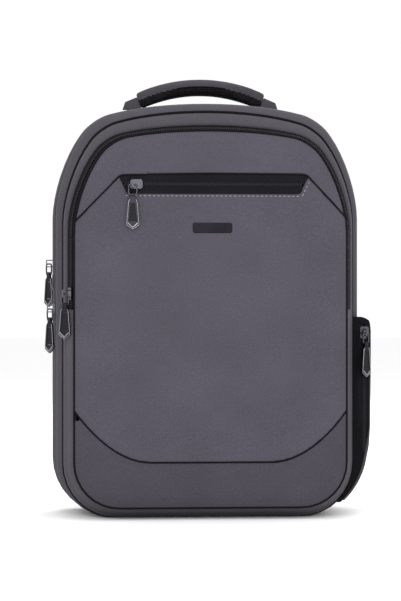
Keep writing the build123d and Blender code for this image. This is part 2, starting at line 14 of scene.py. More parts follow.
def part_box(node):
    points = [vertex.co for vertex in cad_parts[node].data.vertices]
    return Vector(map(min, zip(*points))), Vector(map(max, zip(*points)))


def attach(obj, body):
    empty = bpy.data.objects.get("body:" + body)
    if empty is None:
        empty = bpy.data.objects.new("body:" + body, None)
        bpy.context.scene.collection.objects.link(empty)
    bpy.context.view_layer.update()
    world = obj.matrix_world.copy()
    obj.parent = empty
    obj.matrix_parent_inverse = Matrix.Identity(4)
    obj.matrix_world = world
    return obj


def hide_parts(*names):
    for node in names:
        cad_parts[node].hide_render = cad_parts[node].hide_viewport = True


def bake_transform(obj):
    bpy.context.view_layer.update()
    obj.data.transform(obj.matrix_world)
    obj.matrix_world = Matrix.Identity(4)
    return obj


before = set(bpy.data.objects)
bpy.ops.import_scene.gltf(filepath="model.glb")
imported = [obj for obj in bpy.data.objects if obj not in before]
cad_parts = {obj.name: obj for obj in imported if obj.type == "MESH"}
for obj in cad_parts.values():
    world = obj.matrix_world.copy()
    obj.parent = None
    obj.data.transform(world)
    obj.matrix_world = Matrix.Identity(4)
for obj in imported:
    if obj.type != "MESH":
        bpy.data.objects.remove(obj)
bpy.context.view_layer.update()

# %% [markdown]
# ## The camera
# A product picture of a bag is taken from a few metres away with a long lens, so that its sides stay
# straight. The camera stands level with the middle of the bag, a little to the left of straight ahead,
# which is why a strip of the left side shows. One number, the width of the view at the bag, sets the lens.

# %% Camera
MM = 0.001
VIEW_HEIGHT = 0.661      # how much of the world the frame's long side spans at the bag
DISTANCE = 2.6
AIM = Vector((-0.005, 0.0, 0.2338))


def add_camera(azimuth):
    data = bpy.data.cameras.new("camera")
    data.sensor_width = 36
    data.lens = 18 / (VIEW_HEIGHT / 2 / DISTANCE)
    camera = bpy.data.objects.new("camera", data)
    turn = radians(azimuth)
    camera.location = AIM + Vector((sin(turn), -cos(turn), 0)) * DISTANCE
    camera.rotation_euler = (radians(90), 0, turn)
    bpy.context.scene.collection.objects.link(camera)
    bpy.context.scene.camera = camera
    return data.lens


print("lens in mm:", round(add_camera(-4.5), 1))

# %% [markdown]
# ## Light and floor
# Dark cloth needs large, soft lights, or its seams vanish. A broad light in front and to the left models
# the panels, a weaker one on the right opens the shadows, one above draws the top seams, and one behind
# keeps the back readable. The floor and the surroundings are plain and pale.

# %% Colour helper, lights, floor
def linear(hex_colour, alpha=1.0):
    """An sRGB hex colour as the linear values that a shader takes."""
    channels = [int(hex_colour[i : i + 2], 16) / 255 for i in (1, 3, 5)]
    return [c / 12.92 if c <= 0.04045 else ((c + 0.055) / 1.055) ** 2.4 for c in channels] + [alpha]


def add_light(name, place, size, watts):
    """A square soft light that points at the middle of the bag."""
    data = bpy.data.lights.new(name, "AREA")
    data.size = size
    data.energy = watts
    light = bpy.data.objects.new(name, data)
    light.location = place
    light.rotation_euler = (Vector((0, 0, 0.25)) - light.location).to_track_quat("-Z", "Y").to_euler()
    bpy.context.scene.collection.objects.link(light)


add_light("front_light", (-0.6, -2.6, 1.2), 1.6, 46)
add_light("right_light", (1.5, -2.0, 0.9), 1.4, 10)
add_light("top_light", (0.0, 0.2, 2.2), 1.4, 16)
add_light("back_light", (0.8, 2.4, 1.4), 1.6, 30)

world = bpy.data.worlds.new("pale_room")
world.use_nodes = True
world.node_tree.nodes["Background"].inputs["Color"].default_value = linear("#FAFAFB")
world.node_tree.nodes["Background"].inputs["Strength"].default_value = 1.05
bpy.context.scene.world = world
bpy.context.scene.view_settings.view_transform = "Standard"

# %% [markdown]
# ## Materials
# Every material here is built from a few nodes added by one small function. `surface` makes the shader
# and sets the values that are the same all over. The patterns are made afterwards and linked in.

# %% Node helper and a bare surface
def add(tree, kind, settings=None, **links):
    """Adds one node. settings holds its properties or unlinked inputs, links its linked inputs."""
    node = tree.nodes.new(kind)
    for key, value in (settings or {}).items():
        if hasattr(node, key):
            setattr(node, key, value)
        else:
            node.inputs[key].default_value = value
    for key, source in links.items():
        tree.links.new(source, node.inputs[key.replace("_", " ")])
    return node


def surface(name, colour, roughness, **settings):
    """A new material with one Principled shader, given a base colour and a roughness."""
    material = bpy.data.materials.new(name)
    material.use_nodes = True
    shader = material.node_tree.nodes["Principled BSDF"]
    shader.inputs["Base Color"].default_value = linear(colour)
    shader.inputs["Roughness"].default_value = roughness
    for key, value in settings.items():
        shader.inputs[key.replace("_", " ")].default_value = value
    return material, material.node_tree, shader


# %% [markdown]
# ### Woven polyester
# The outside of the bag is a plain-weave polyester canvas, piece-dyed a purplish dark grey, with a few
# lighter yarns in it. It is matt, with a faint sheen where the weave turns away. Real yarns are about
# half a millimetre thick, too fine to see from a few metres, so the weave is drawn at 1.3 mm. Fine noise
# scatters light and dark yarns, and broad noise gives the slight unevenness that a dyed cloth has.

# %% Woven polyester
THREAD = 1.3 * MM
WAVE_REPEAT = 0.314      # metres between the bands of a wave texture whose scale is 1


def weave_height(tree, coordinates, pitch):
    """Two crossing sets of ribs on any side of a piece: the sum of waves along x, y and z."""
    total = None
    for axis in "XYZ":
        wave = add(
            tree,
            "ShaderNodeTexWave",
            {"bands_direction": axis, "Scale": WAVE_REPEAT / pitch / 2, "Distortion": 0.6, "Detail": 1.0},
            Vector=coordinates,
        )
        if total is None:
            total = wave.outputs["Fac"]
            continue
        both = add(tree, "ShaderNodeMath", {"operation": "ADD"})
        tree.links.new(total, both.inputs[0])
        tree.links.new(wave.outputs["Fac"], both.inputs[1])
        total = both.outputs[0]
    return total


def cloth(name, dark, light, roughness=0.85, pitch=THREAD, yarn=1.4 * MM, bump=0.25, sheen=0.06):
    """A woven cloth whose yarns vary between two colours."""
    material, tree, shader = surface(
        name, dark, roughness, Sheen_Weight=sheen, Sheen_Roughness=0.45,
        Specular_IOR_Level=0.15 if sheen else 0.06,
    )
    place = add(tree, "ShaderNodeTexCoord").outputs["Object"]
    fine = {"Scale": 1 / yarn, "Detail": 2.0, "Roughness": 0.6}
    broad = {"Scale": 14.0, "Detail": 3.0, "Roughness": 0.55}
    yarns = add(tree, "ShaderNodeTexNoise", fine, Vector=place).outputs["Fac"]
    patches = add(tree, "ShaderNodeTexNoise", broad, Vector=place).outputs["Fac"]
    weight = add(tree, "ShaderNodeMix", {"Factor": 0.35}, A=yarns, B=patches)
    ramp = add(tree, "ShaderNodeValToRGB", Fac=weight.outputs["Result"])
    ramp.color_ramp.elements[0].position = 0.3
    ramp.color_ramp.elements[0].color = linear(dark)
    ramp.color_ramp.elements[1].position = 0.7
    ramp.color_ramp.elements[1].color = linear(light)
    tree.links.new(ramp.outputs["Color"], shader.inputs["Base Color"])
    height = weave_height(tree, place, pitch)
    dent = add(tree, "ShaderNodeBump", {"Strength": bump, "Distance": 0.0004}, Height=height)
    soft = add(tree, "ShaderNodeTexNoise", {"Scale": 60.0, "Detail": 2.0}, Vector=place)
    creases = add(
        tree, "ShaderNodeBump", {"Strength": 0.12, "Distance": 0.003},
        Height=soft.outputs["Fac"], Normal=dent.outputs["Normal"],
    )
    tree.links.new(creases.outputs["Normal"], shader.inputs["Normal"])
    return material


canvas = cloth("woven_polyester", "#3A373E", "#494650")
lower_canvas = cloth("woven_polyester_lower", "#333037", "#413E46")
# The side copy is the same cloth made darker: painted shade for the side walls, which turn away from the
# light.
shaded_side_canvas = cloth("woven_polyester_side_painted_shade", "#27252B", "#333137", sheen=0.03)
gusset_canvas = cloth("woven_polyester_gusset", "#36333A", "#444148", sheen=0.04)
black_canvas = cloth("black_woven_polyester", "#09090B", "#141417", sheen=0.0)
lining = cloth("grey_lining_cloth", "#29282D", "#333236", roughness=0.6, bump=0.1, sheen=0.03)
webbing = cloth("ribbed_webbing", "#0C0C0E", "#18181B", pitch=1.8 * MM, bump=0.5, sheen=0.03)
zip_tape = cloth("zip_tape", "#0E0E11", "#1A1A1E", pitch=1.0 * MM, bump=0.35, sheen=0.0)
print("cloths:", [m.name for m in bpy.data.materials])

# %% [markdown]
# ### Metal, plastic and rubber
# Zip sliders are die-cast zinc with a dark gunmetal plating: a metal that mirrors the room darkly, with
# tumbled, slightly uneven gloss. The buckles and the port's frame are moulded acetal, satin black. The
# pullers hold a soft black rubber inlay. The thread is bonded nylon, and shows only as fine dashes.

# %% Hard materials
def uneven_gloss(name, colour, low, high, scale, **settings):
    """A smooth material whose roughness wanders between two values."""
    material, tree, shader = surface(name, colour, (low + high) / 2, **settings)
    place = add(tree, "ShaderNodeTexCoord").outputs["Object"]
    cloud = add(tree, "ShaderNodeTexNoise", {"Scale": scale, "Detail": 4.0}, Vector=place)
    spread = add(tree, "ShaderNodeMapRange", {"To Min": low, "To Max": high}, Value=cloud.outputs["Fac"])
    tree.links.new(spread.outputs["Result"], shader.inputs["Roughness"])
    grain = add(tree, "ShaderNodeTexNoise", {"Scale": scale * 6, "Detail": 2.0}, Vector=place).outputs["Fac"]
    dent = add(tree, "ShaderNodeBump", {"Strength": 0.01, "Distance": 0.0002}, Height=grain)
    tree.links.new(dent.outputs["Normal"], shader.inputs["Normal"])
    return material


gunmetal = uneven_gloss("gunmetal_plated_zinc", "#4A484E", 0.22, 0.36, 60, Metallic=1.0)
black_nickel = uneven_gloss("black_nickel_plated_zinc", "#2E2D33", 0.26, 0.4, 60, Metallic=1.0)
bright_metal = uneven_gloss("bright_stamped_steel", "#8E8E92", 0.2, 0.4, 80, Metallic=1.0)
black_plastic = uneven_gloss("moulded_acetal", "#0C0C0E", 0.38, 0.55, 500, IOR=1.48)
rubber = uneven_gloss("soft_black_rubber", "#08080A", 0.6, 0.8, 700, IOR=1.52, Specular_IOR_Level=0.25)
badge_metal = uneven_gloss("smoked_chrome_badge", "#232227", 0.12, 0.3, 60, Metallic=1.0)
coil_nylon = uneven_gloss("coil_nylon", "#131316", 0.4, 0.55, 800, IOR=1.53, Specular_IOR_Level=0.3)
dark_thread = uneven_gloss("bonded_nylon_thread", "#1A1A1E", 0.5, 0.7, 900, IOR=1.53)
pale_thread = uneven_gloss("pale_bonded_thread", "#8F858B", 0.5, 0.7, 900, IOR=1.53)

# %% [markdown]
# ## Seam lines
# A backpack is sewn from flat pieces along a few closed seam lines that run all round it. Each one is a
# tombstone: a straight base, straight sides, and a wide arch. They are drawn here as a few corners, and
# rounded with a vertex bevel. Every wall, tape and row of teeth is later laid between two of these lines.

# %% Seam lines: corners as (x, z, radius) in millimetres, right half
BACK_LINE = (74, [(165, 0, 62), (165, 373, 155), (122.4, 432, 52), (0, 465, 405)])
MAIN_LINE = (-27, [(165, 0, 62), (165, 373, 155), (122.4, 432, 52), (0, 465, 405)])
SEAM_LINE = (-42, [(156.5, 0, 58), (156.5, 366, 145), (116, 421, 50), (0, 454.5, 350)])
ZIP_LINE = (-57, [(153, 5, 55), (153, 357, 138), (112, 410, 48), (0, 434.5, 430)])
FACE_LINE = (-80, [(145.5, 13, 48), (145.5, 350, 140), (106, 404, 45), (0, 424.5, 460)])


def walk(bm):
    """The points of a closed ring of edges in order, from the lowest middle one towards +x."""
    start = min(bm.verts, key=lambda v: (round(v.co.z, 5), abs(v.co.x)))
    here = max((e.other_vert(start) for e in start.link_edges), key=lambda v: v.co.x)
    path = [start, here]
    while True:
        ahead = [e.other_vert(here) for e in here.link_edges if e.other_vert(here) is not path[-2]]
        here = ahead[0]
        if here is start:
            return [v.co.copy() for v in path]
        path.append(here)


def rounded_line(corners, depth, steps=8):
    """A closed line at one depth with rounded corners, given as (x, z, radius) in mm."""
    bm = bmesh.new()
    verts = [bm.verts.new((x * MM, depth * MM, z * MM)) for x, z, _ in corners]
    for first, second in zip(verts, verts[1:] + verts[:1]):
        bm.edges.new((first, second))
    spots = [v.co.copy() for v in verts]
    for i, (vert, corner) in enumerate(zip(verts, corners)):
        if not corner[2]:
            continue
        back, ahead = spots[i - 1] - spots[i], spots[(i + 1) % len(spots)] - spots[i]
        reach = corner[2] * MM / tan(back.angle(ahead) / 2)
        count = steps * 2 if corner[2] > 300 else steps
        bmesh.ops.bevel(
            bm, geom=[vert], offset=reach, segments=count, profile=0.5, affect="VERTICES", material=-1
        )
    long_edges = [e for e in bm.edges if e.calc_length() > 0.06]
    bmesh.ops.subdivide_edges(bm, edges=long_edges, cuts=25)
    points = walk(bm)
    bm.free()
    return points


def inset(points, distance):
    """A closed line moved inwards by a distance in mm."""
    moved = []
    for i, point in enumerate(points):
        run = points[(i + 1) % len(points)] - points[i - 1]
        moved.append(point + Vector((-run.z, 0, run.x)).normalized() * distance * MM)
    return moved


def seam(line, distance=0.0, depth=None):
    """One of the seam lines, moved inwards, and to another depth in mm if one is given."""
    corners = [*line[1], *[(-x, z, r) for x, z, r in reversed(line[1][:-1])]]
    points = rounded_line(corners, line[0] if depth is None else depth)
    return inset(points, distance) if distance else points


def between(line_a, line_b, depth, distance=0.0):
    """A line at a depth between two seam lines."""
    share = (depth - line_a[0]) / (line_b[0] - line_a[0])
    points = [a.lerp(b, share) for a, b in zip(seam(line_a), seam(line_b))]
    return inset(points, distance) if distance else points


for label, line in (("back", BACK_LINE), ("seam", SEAM_LINE), ("zip", ZIP_LINE), ("face", FACE_LINE)):
    ring = seam(line)
    print(label, "line:", len(ring), "points, top", round(max(p.z for p in ring) * 1000, 1), "mm")

# %% [markdown]
# ## From lines to pieces
# `add_rows` bridges one row of points to the next, which is how a wall is lofted. `make_piece` turns a
# finished bmesh into an object with outward faces. `dress` hangs it on the body it rides on, or leaves it
# fixed where it is when given two bodies, and hides the CAD nodes it stands for.

# %% Rows, pieces, and their bodies
def add_rows(bm, rows, closed=True):
    """Rows of points become rows of edges, and each row is bridged to the next."""
    edge_rows = []
    for row in rows:
        verts = [bm.verts.new(p) for p in row]
        ends = verts[1:] + (verts[:1] if closed else [])
        edge_rows.append([bm.edges.new(pair) for pair in zip(verts, ends)])
    for near, far in zip(edge_rows, edge_rows[1:]):
        bmesh.ops.bridge_loops(bm, edges=near + far)
    return edge_rows


def make_piece(name, bm, *materials, smooth=True, recalc=True):
    """A finished bmesh becomes an object at the origin, its normals made consistent if recalc is set."""
    if recalc:
        bmesh.ops.recalc_face_normals(bm, faces=bm.faces[:])
    for face in bm.faces:
        face.smooth = smooth
    mesh = bpy.data.meshes.new(name)
    bm.to_mesh(mesh)
    bm.free()
    for material in materials:
        mesh.materials.append(material)
    obj = bpy.data.objects.new(name, mesh)
    bpy.context.scene.collection.objects.link(obj)
    return obj


MIDDLE = Vector((0, 0, 0.22))      # about the middle of the bag


def face_outwards(bm):
    """Turns an open wall's faces away from the middle of the bag."""
    bmesh.ops.recalc_face_normals(bm, faces=bm.faces[:])
    side = max(bm.faces, key=lambda f: abs(f.calc_center_median().x))
    away = side.calc_center_median() - MIDDLE
    if side.normal.dot(away) < 0:
        bmesh.ops.reverse_faces(bm, faces=bm.faces[:])


def cut_flat(bm, place, across, **settings):
    """Cuts through the whole mesh with a plane."""
    geom = bm.verts[:] + bm.edges[:] + bm.faces[:]
    return bmesh.ops.bisect_plane(bm, geom=geom, plane_co=place, plane_no=across, **settings)


def drawn_out(bm, faces, by):
    """Extrudes faces and moves the new ones by a vector."""
    moved = bmesh.ops.extrude_face_region(bm, geom=faces)["geom"]
    bmesh.ops.translate(bm, verts=[v for v in moved if isinstance(v, bmesh.types.BMVert)], vec=by)


def dress(obj, body, slot, *nodes):
    """The piece rides on a body; given two bodies and heights instead, it only stays fixed where it is."""
    if isinstance(body, str):
        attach(obj, body)
    else:
        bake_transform(obj)
    if nodes:
        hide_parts(*nodes)
    return obj


LOWER_FOLD = ("bag", "front_section", 0.188, 0.224)
COVER_FOLD = ("front_section", "cover", 0.240, 0.268)
PANEL_SPLIT = 0.230


def applied(obj):
    """The object with its modifiers made part of its mesh."""
    graph = bpy.context.evaluated_depsgraph_get()
    mesh = bpy.data.meshes.new_from_object(obj.evaluated_get(graph))
    obj.modifiers.clear()
    obj.data = mesh
    return obj


def thickened(obj, thickness, offset=-1, lined=False):
    """A sheet gets a thickness in mm, inwards as a rule. A lined one takes its second material inside."""
    solid = obj.modifiers.new("thickness", "SOLIDIFY")
    solid.thickness = thickness * MM
    solid.offset = offset
    solid.material_offset = 1 if lined else 0
    return obj

# %% [markdown]
# ## The main gusset
# The wall round the laptop and main compartments is a strip of cloth that starts at the back panel and
# ends at the front seam. It is lofted through the seam lines, with the places where the two zips sit cut
# out above the zips' ends. The long middle stretch is padded, so it swells a little between its seams.

# %% Main gusset
LAPTOP_ZIP = (40.0, 62.0, 51.0, 262.0)      # front edge, back edge, middle, lower end, mm
MAIN_ZIP = (-27.0, -5.0, -16.0, 212.0)
WALL = 2.6      # canvas, foam and lining together, mm
ABOVE_FLOOR = 0.2 * MM


def swell(bm, depth_a, depth_b, amount):
    """Pushes a stretch of wall out between two seams, most in its middle."""
    bm.normal_update()
    for vert in bm.verts:
        share = (vert.co.y / MM - depth_a) / (depth_b - depth_a)
        if 0 < share < 1:
            vert.co += vert.normal * sin(pi * share) * amount * MM
            vert.co.z = max(vert.co.z, ABOVE_FLOOR)


def open_for_zip(bm, zip_place):
    """Cuts the wall away where a zip's tapes lie."""
    front, back, _, end = zip_place
    cut_flat(bm, (0, 0, end * MM), (0, 0, 1), dist=1e-6)
    gone = []
    for face in bm.faces:
        middle = face.calc_center_median()
        if front * MM < middle.y < back * MM and middle.z > end * MM:
            gone.append(face)
    bmesh.ops.delete(bm, geom=gone, context="FACES")


def main_gusset():
    depths = [73, 70, 66, 62, 58, 51, 44, 40, 36, 30, 24, 17, 10, 4, -2, -5, -9, -16, -22, -25]
    bm = bmesh.new()
    rows = [seam(BACK_LINE, 0, depth) for depth in depths]
    add_rows(bm, [*rows, seam(BACK_LINE, 0.5, -26.2), seam(BACK_LINE, 1.6, -26.8)])
    face_outwards(bm)
    swell(bm, 40, -5, 2.2)
    swell(bm, 73, 62, 1.0)
    open_for_zip(bm, LAPTOP_ZIP)
    open_for_zip(bm, MAIN_ZIP)
    # The wall takes the darker side copy of the cloth, which is painted shade on the sides.
    obj = make_piece("main_gusset", bm, shaded_side_canvas, lining, recalc=False)
    return thickened(obj, WALL, lined=True)


dress(main_gusset(), "bag", "heather_fabric", "rear_shell")

# %% [markdown]
# ## The front gusset
# Round the front compartment the wall steps in, over a seam that shows as a dark line all the way round, and
# ends at the zip. Below the zip's ends it runs on to the front panel.

# %% Front gusset
FRONT_ZIP_END = 224.0


def front_gusset():
    lines = [seam(MAIN_LINE, 1.6, -27.2), seam(MAIN_LINE, 0.6, -27.8)]
    lines += [between(MAIN_LINE, SEAM_LINE, d) for d in (-30, -33, -36, -39)]
    lines += [between(MAIN_LINE, SEAM_LINE, -41, 0.6), seam(SEAM_LINE, 2.2)]
    lines += [between(SEAM_LINE, ZIP_LINE, -43, 0.6)]
    lines += [between(SEAM_LINE, ZIP_LINE, d) for d in (-46, -50, -54)]
    lines += [between(SEAM_LINE, ZIP_LINE, -56.8)]
    lines += [between(ZIP_LINE, FACE_LINE, d) for d in (-60, -64, -69, -74, -79)]
    bm = bmesh.new()
    add_rows(bm, lines)
    face_outwards(bm)
    swell(bm, -27.4, -42, 1.4)
    swell(bm, -42, -57, 1.3)
    swell(bm, -57, -80, 0.8)
    open_for_zip(bm, (-81, -57, -68.5, FRONT_ZIP_END))
    obj = make_piece("front_gusset", bm, gusset_canvas, lining, recalc=False)
    return thickened(obj, WALL, lined=True)


dress(front_gusset(), LOWER_FOLD, "heather_fabric", "front_gusset_lower", "front_gusset_upper")

# %% [markdown]
# ## Zips
# A coil zip is two woven tapes, each with a spiral of nylon sewn along its edge. The spirals' loops mesh
# in the middle. Each tape is a thin strip laid just under the cloth's edge, and each loop of the coil is
# a small bead. The coil's real pitch is 1.5 mm. It is drawn at 2.4 mm, so that it still shows.

# %% Tapes and coils
COIL_PITCH = 2.4 * MM


def above(points, end):
    """The part of a closed line above a height, ending exactly there."""
    high = [i for i, p in enumerate(points) if p.z > end * MM + 1e-6]
    first, last = points[high[0] - 1], points[(high[-1] + 1) % len(points)]
    start, stop = points[high[0]].copy(), points[high[-1]].copy()
    start.z = stop.z = end * MM
    return [start, *[points[i] for i in high], stop]


def evenly(points, step):
    """Places and directions at even steps along a line of points."""
    found = []
    travelled = 0.0
    for here, there in zip(points, points[1:]):
        run = there - here
        while travelled < run.length:
            found.append((here + run.normalized() * travelled, run.normalized()))
            travelled += step
        travelled -= run.length
    return found


def bead_mesh():
    """One small rounded bead, one unit wide, kept as a mesh so that it can be copied."""
    bm = bmesh.new()
    bmesh.ops.create_uvsphere(bm, u_segments=6, v_segments=4, radius=0.5)
    mesh = bpy.data.meshes.new("bead")
    bm.to_mesh(mesh)
    bm.free()
    return mesh


BEAD = bead_mesh()


def add_bead(bm, place, along, across, out, size):
    """A copy of the bead, with its size given along, across and out."""
    if along.cross(across).dot(out) < 0:
        along = -along
    turn = Matrix((along * size[0], across * size[1], out * size[2])).transposed().to_4x4()
    copy = BEAD.copy()
    copy.transform(Matrix.Translation(place) @ turn)
    bm.from_mesh(copy)
    bpy.data.meshes.remove(copy)


def tape(name, rows, thickness=0.9):
    """A strip of woven tape laid through open rows of points."""
    bm = bmesh.new()
    add_rows(bm, rows, closed=False)
    face_outwards(bm)
    return thickened(make_piece(name, bm, zip_tape, recalc=False), thickness)


def coil(name, points, towards, shift):
    """One half of a coil: a bead at every pitch, reaching towards the other tape."""
    bm = bmesh.new()
    for place, along in evenly(points, COIL_PITCH):
        out = towards.cross(along).normalized()
        if out.dot(place - Vector((0, place.y, MIDDLE.z))) < 0:
            out = -out
        spot = place + along * shift + towards * 0.6 * MM + out * 0.5 * MM
        add_bead(bm, spot, along, towards, out, (1.5 * MM, 3.6 * MM, 1.7 * MM))
    return make_piece(name, bm, coil_nylon, recalc=False)


TAPE_UNDER = 1.3      # how far a tape lies under the cloth's surface, mm


def straight_zip(name, zip_place, bodies, nodes):
    """A zip on the straight part of the gusset: a front and a back tape, each with its coil."""
    front, back, middle, end = zip_place
    for word, edge, toward, body, node in (
        ("back", back + 0.4, Vector((0, -1, 0)), bodies[0], nodes[0]),
        ("front", front - 0.4, Vector((0, 1, 0)), bodies[1], nodes[1]),
    ):
        inner = middle - toward.y * 1.4
        half = (edge + inner) / 2
        rows = [above(seam(BACK_LINE, TAPE_UNDER, d), end - 1) for d in (edge, half, inner)]
        strip = dress(tape(f"{name}_{word}_tape_cloth", rows), body, "zip_tape", *node)
        line = above(seam(BACK_LINE, TAPE_UNDER, inner), end)
        beads = coil(f"{name}_{word}_coil", line, toward, 0 if word == "back" else COIL_PITCH / 2)
        dress(beads, body, "zip_tape")
        print(strip.name, len(strip.data.polygons), beads.name, len(beads.data.polygons))


straight_zip("laptop_zip", LAPTOP_ZIP, ("bag", "bag"), (["laptop_zip_tapes"], []))
straight_zip(
    "main_zip", MAIN_ZIP, ("bag", "front_section"), (["main_zip_rear_tape"], ["main_zip_front_tape"])
)

# %% [markdown]
# The front zip lies on the slope between the gusset and the front panel. Its outer tape stays with the front
# section, and its inner tape is fixed where it lies.

# %% Front zip
def slope_row(depth):
    """A row of points on the slope, under the cloth, above the front zip's ends."""
    return above(between(ZIP_LINE, FACE_LINE, depth, TAPE_UNDER), FRONT_ZIP_END - 1)


def front_zip():
    outer_rows = [slope_row(depth) for depth in (-56.6, -62, -67.2)]
    inner_rows = [slope_row(depth) for depth in (-69.8, -75, -80.4)]
    outer = tape("front_zip_outer_tape_cloth", outer_rows)
    inner = tape("front_zip_inner_tape_cloth", inner_rows)
    slope = (seam(FACE_LINE)[40] - seam(ZIP_LINE)[40]).normalized()
    slope = Vector((0, slope.y, 0)).normalized()
    outer_beads = coil("front_zip_outer_coil", outer_rows[-1], slope, 0)
    inner_beads = coil("front_zip_inner_coil", inner_rows[0], -slope, COIL_PITCH / 2)
    dress(outer, "front_section", "zip_tape", "front_zip_outer_tape")
    dress(outer_beads, "front_section", "zip_tape")
    dress(inner, COVER_FOLD, "zip_tape", "front_zip_inner_tape")
    dress(inner_beads, COVER_FOLD, "zip_tape")
    beads = [len(piece.data.polygons) // len(BEAD.polygons) for piece in (outer_beads, inner_beads)]
    print("front zip beads:", beads)


front_zip()

# %% [markdown]
# ## Tubes and dashes
# Piping, binding and cords are tubes laid along a line. A tube is lofted the long way: eight lines beside
# the path, bridged each to the next. A row of stitches is a row of small beads.

# %% Tubes and stitches
def tube(bm, points, radius, closed=False, sides=8):
    """A round tube of a radius in mm along a line of points."""
    rows = []
    for step in range(sides):
        turn = 2 * pi * step / sides
        row = []
        for i, point in enumerate(points):
            ahead = points[(i + 1) % len(points)] if closed or i + 1 < len(points) else point
            back = points[i - 1] if closed or i else point
            run = (ahead - back).normalized()
            side = run.cross(Vector((0.02, 1, 0.01))).normalized()
            up = side.cross(run)
            row.append(point + (side * cos(turn) + up * sin(turn)) * radius * MM)
        rows.append(row)
    edge_rows = add_rows(bm, rows, closed=closed)
    bmesh.ops.bridge_loops(bm, edges=edge_rows[-1] + edge_rows[0])
    if not closed:
        ends = [e for e in bm.edges if e.is_boundary]
        bmesh.ops.holes_fill(bm, edges=ends)


def tube_piece(name, points, radius, material, **settings):
    """A tube that is a piece of its own."""
    bm = bmesh.new()
    tube(bm, points, radius, **settings)
    return make_piece(name, bm, material)


def stitches(name, points, material, out=Vector((0, -1, 0)), dash=3.2, gap=1.6, wide=0.8):
    """A row of dashes of thread along a line."""
    bm = bmesh.new()
    for place, along in evenly(points, (dash + gap) * MM):
        across = along.cross(out).normalized()
        face = across.cross(along).normalized()
        add_bead(bm, place, along, across, face, (dash * MM, wide * MM, wide * MM))
    return make_piece(name, bm, material, recalc=False)


# %% [markdown]
# ## The front
# The front is three pieces of foam-backed cloth, sewn edge to edge: a top piece, a raised central piece
# that holds the pocket, and a darker lower piece. Each starts as a flat outline with some thickness, is
# remeshed to an even grid, and is then shaped by how far each point lies from the nearest seam, because
# that is what gives padded cloth its form: pinched at the seams, full between them.

# %% Outlines of the front pieces, in mm
ROOF_RIGHT, ROOF_LEFT = 321.2, 316.3
ROOF_TOP = [
    (146.5, ROOF_RIGHT), (103, 366.8), (99.5, 368.2), (2, 369.0),
    (-93.5, 367.2), (-98, 365.8), (-146.5, ROOF_LEFT),
]
POCKET_SLOT = [(103.5, 366.0), (95.0, 348.2), (-90.0, 348.2), (-98.5, 366.0)]
FRONT_SIDE = 145.5
CURVE_LEVEL, CURVE_TURNS, CURVE_ENDS = 61.5, 64.0, 115.4


def curve_height(x):
    """Height of the lower seam at a distance from the middle: level, then rising to the sides."""
    return CURVE_LEVEL + 0.0082 * max(0.0, abs(x) - CURVE_TURNS) ** 2


def flat(pairs, depth=-80.0):
    return [Vector((x, depth, z)) * MM for x, z in pairs]


def front_outlines():
    """The closed outlines of the top, central and lower pieces, going round the same way."""
    ring = seam(FACE_LINE)
    curve = flat([(x, curve_height(x)) for x in (-FRONT_SIDE, *range(-144, 145, 6), FRONT_SIDE)])
    right_end, left_end = flat([(FRONT_SIDE, ROOF_RIGHT), (-FRONT_SIDE, ROOF_LEFT)])
    right = [p for p in ring if p.x > 0 and CURVE_ENDS * MM < p.z < 321 * MM]
    left = [p for p in ring if p.x < 0 and CURVE_ENDS * MM < p.z < 316 * MM]
    arch = [p for p in ring if p.z > (ROOF_RIGHT if p.x > 0 else ROOF_LEFT) * MM]
    low_right = [p for p in ring if p.x >= 0 and p.z < CURVE_ENDS * MM]
    low_left = [p for p in ring if p.x < 0 and p.z < CURVE_ENDS * MM]
    return {
        "top": [right_end, *arch, left_end, *flat(reversed(ROOF_TOP[1:-1]))],
        "central": [*right, right_end, *flat(POCKET_SLOT), left_end, *left, *curve],
        "lower": low_right + curve[::-1] + low_left,
    }


OUTLINES = front_outlines()
print({name: len(points) for name, points in OUTLINES.items()})

# %% Distances to the seams
def seam_tree(points, closed=True):
    """A search tree of places along a line, for asking how far away the line is."""
    line = evenly([*points, points[0]] if closed else points, 1.0 * MM)
    tree = kdtree.KDTree(len(line))
    for i, (place, _) in enumerate(line):
        tree.insert((place.x, 0, place.z), i)
    tree.balance()
    return tree


def rise(distance, reach):
    """From 0 at a seam to 1 at a distance in mm, steep first, like cloth over foam."""
    return sin(pi / 2 * min(distance / MM / reach, 1.0))


EDGE_TREE = seam_tree(seam(FACE_LINE))
FRONT_DEPTH, FOAM, FOAM_REACH = 80.4, 4.1, 15


def face_depth(x, z):
    """How far forward the front stands at a place, in metres, before its own puff."""
    distance = EDGE_TREE.find((x, 0, z))[2]
    return -(FRONT_DEPTH + FOAM * rise(distance, FOAM_REACH)) * MM


def remeshed(obj, voxel):
    """The object's mesh rebuilt as an even grid of quads."""
    grid = obj.modifiers.new("even_grid", "REMESH")
    grid.mode = "VOXEL"
    grid.voxel_size = voxel * MM
    return applied(obj)


def front_piece(name, outline, raised, puff, *materials):
    """A padded piece of the front, shaped from its outline."""
    bm = bmesh.new()
    face = bm.faces.new([bm.verts.new(p) for p in inset(outline, 0.35)])
    drawn_out(bm, [face], (0, -8 * MM, 0))
    obj = remeshed(make_piece(name, bm, *materials), 2.0)
    own = seam_tree(outline)
    for vert in obj.data.vertices:
        place = vert.co
        share = min(max((-80 * MM - place.y) / (8 * MM), 0.0), 1.0)
        distance = own.find((place.x, 0, place.z))[2]
        front = face_depth(place.x, place.z)
        front -= (raised * rise(distance, 5) + puff * rise(distance, 75)) * MM
        front -= noise.noise(place * 22) * 0.5 * MM * rise(distance, 30)
        vert.co.y = -80.6 * MM + share * (front + 80.6 * MM)
    for face in obj.data.polygons:
        face.material_index = 1 if face.normal.y > 0.6 else 0
        face.use_smooth = True
    return obj
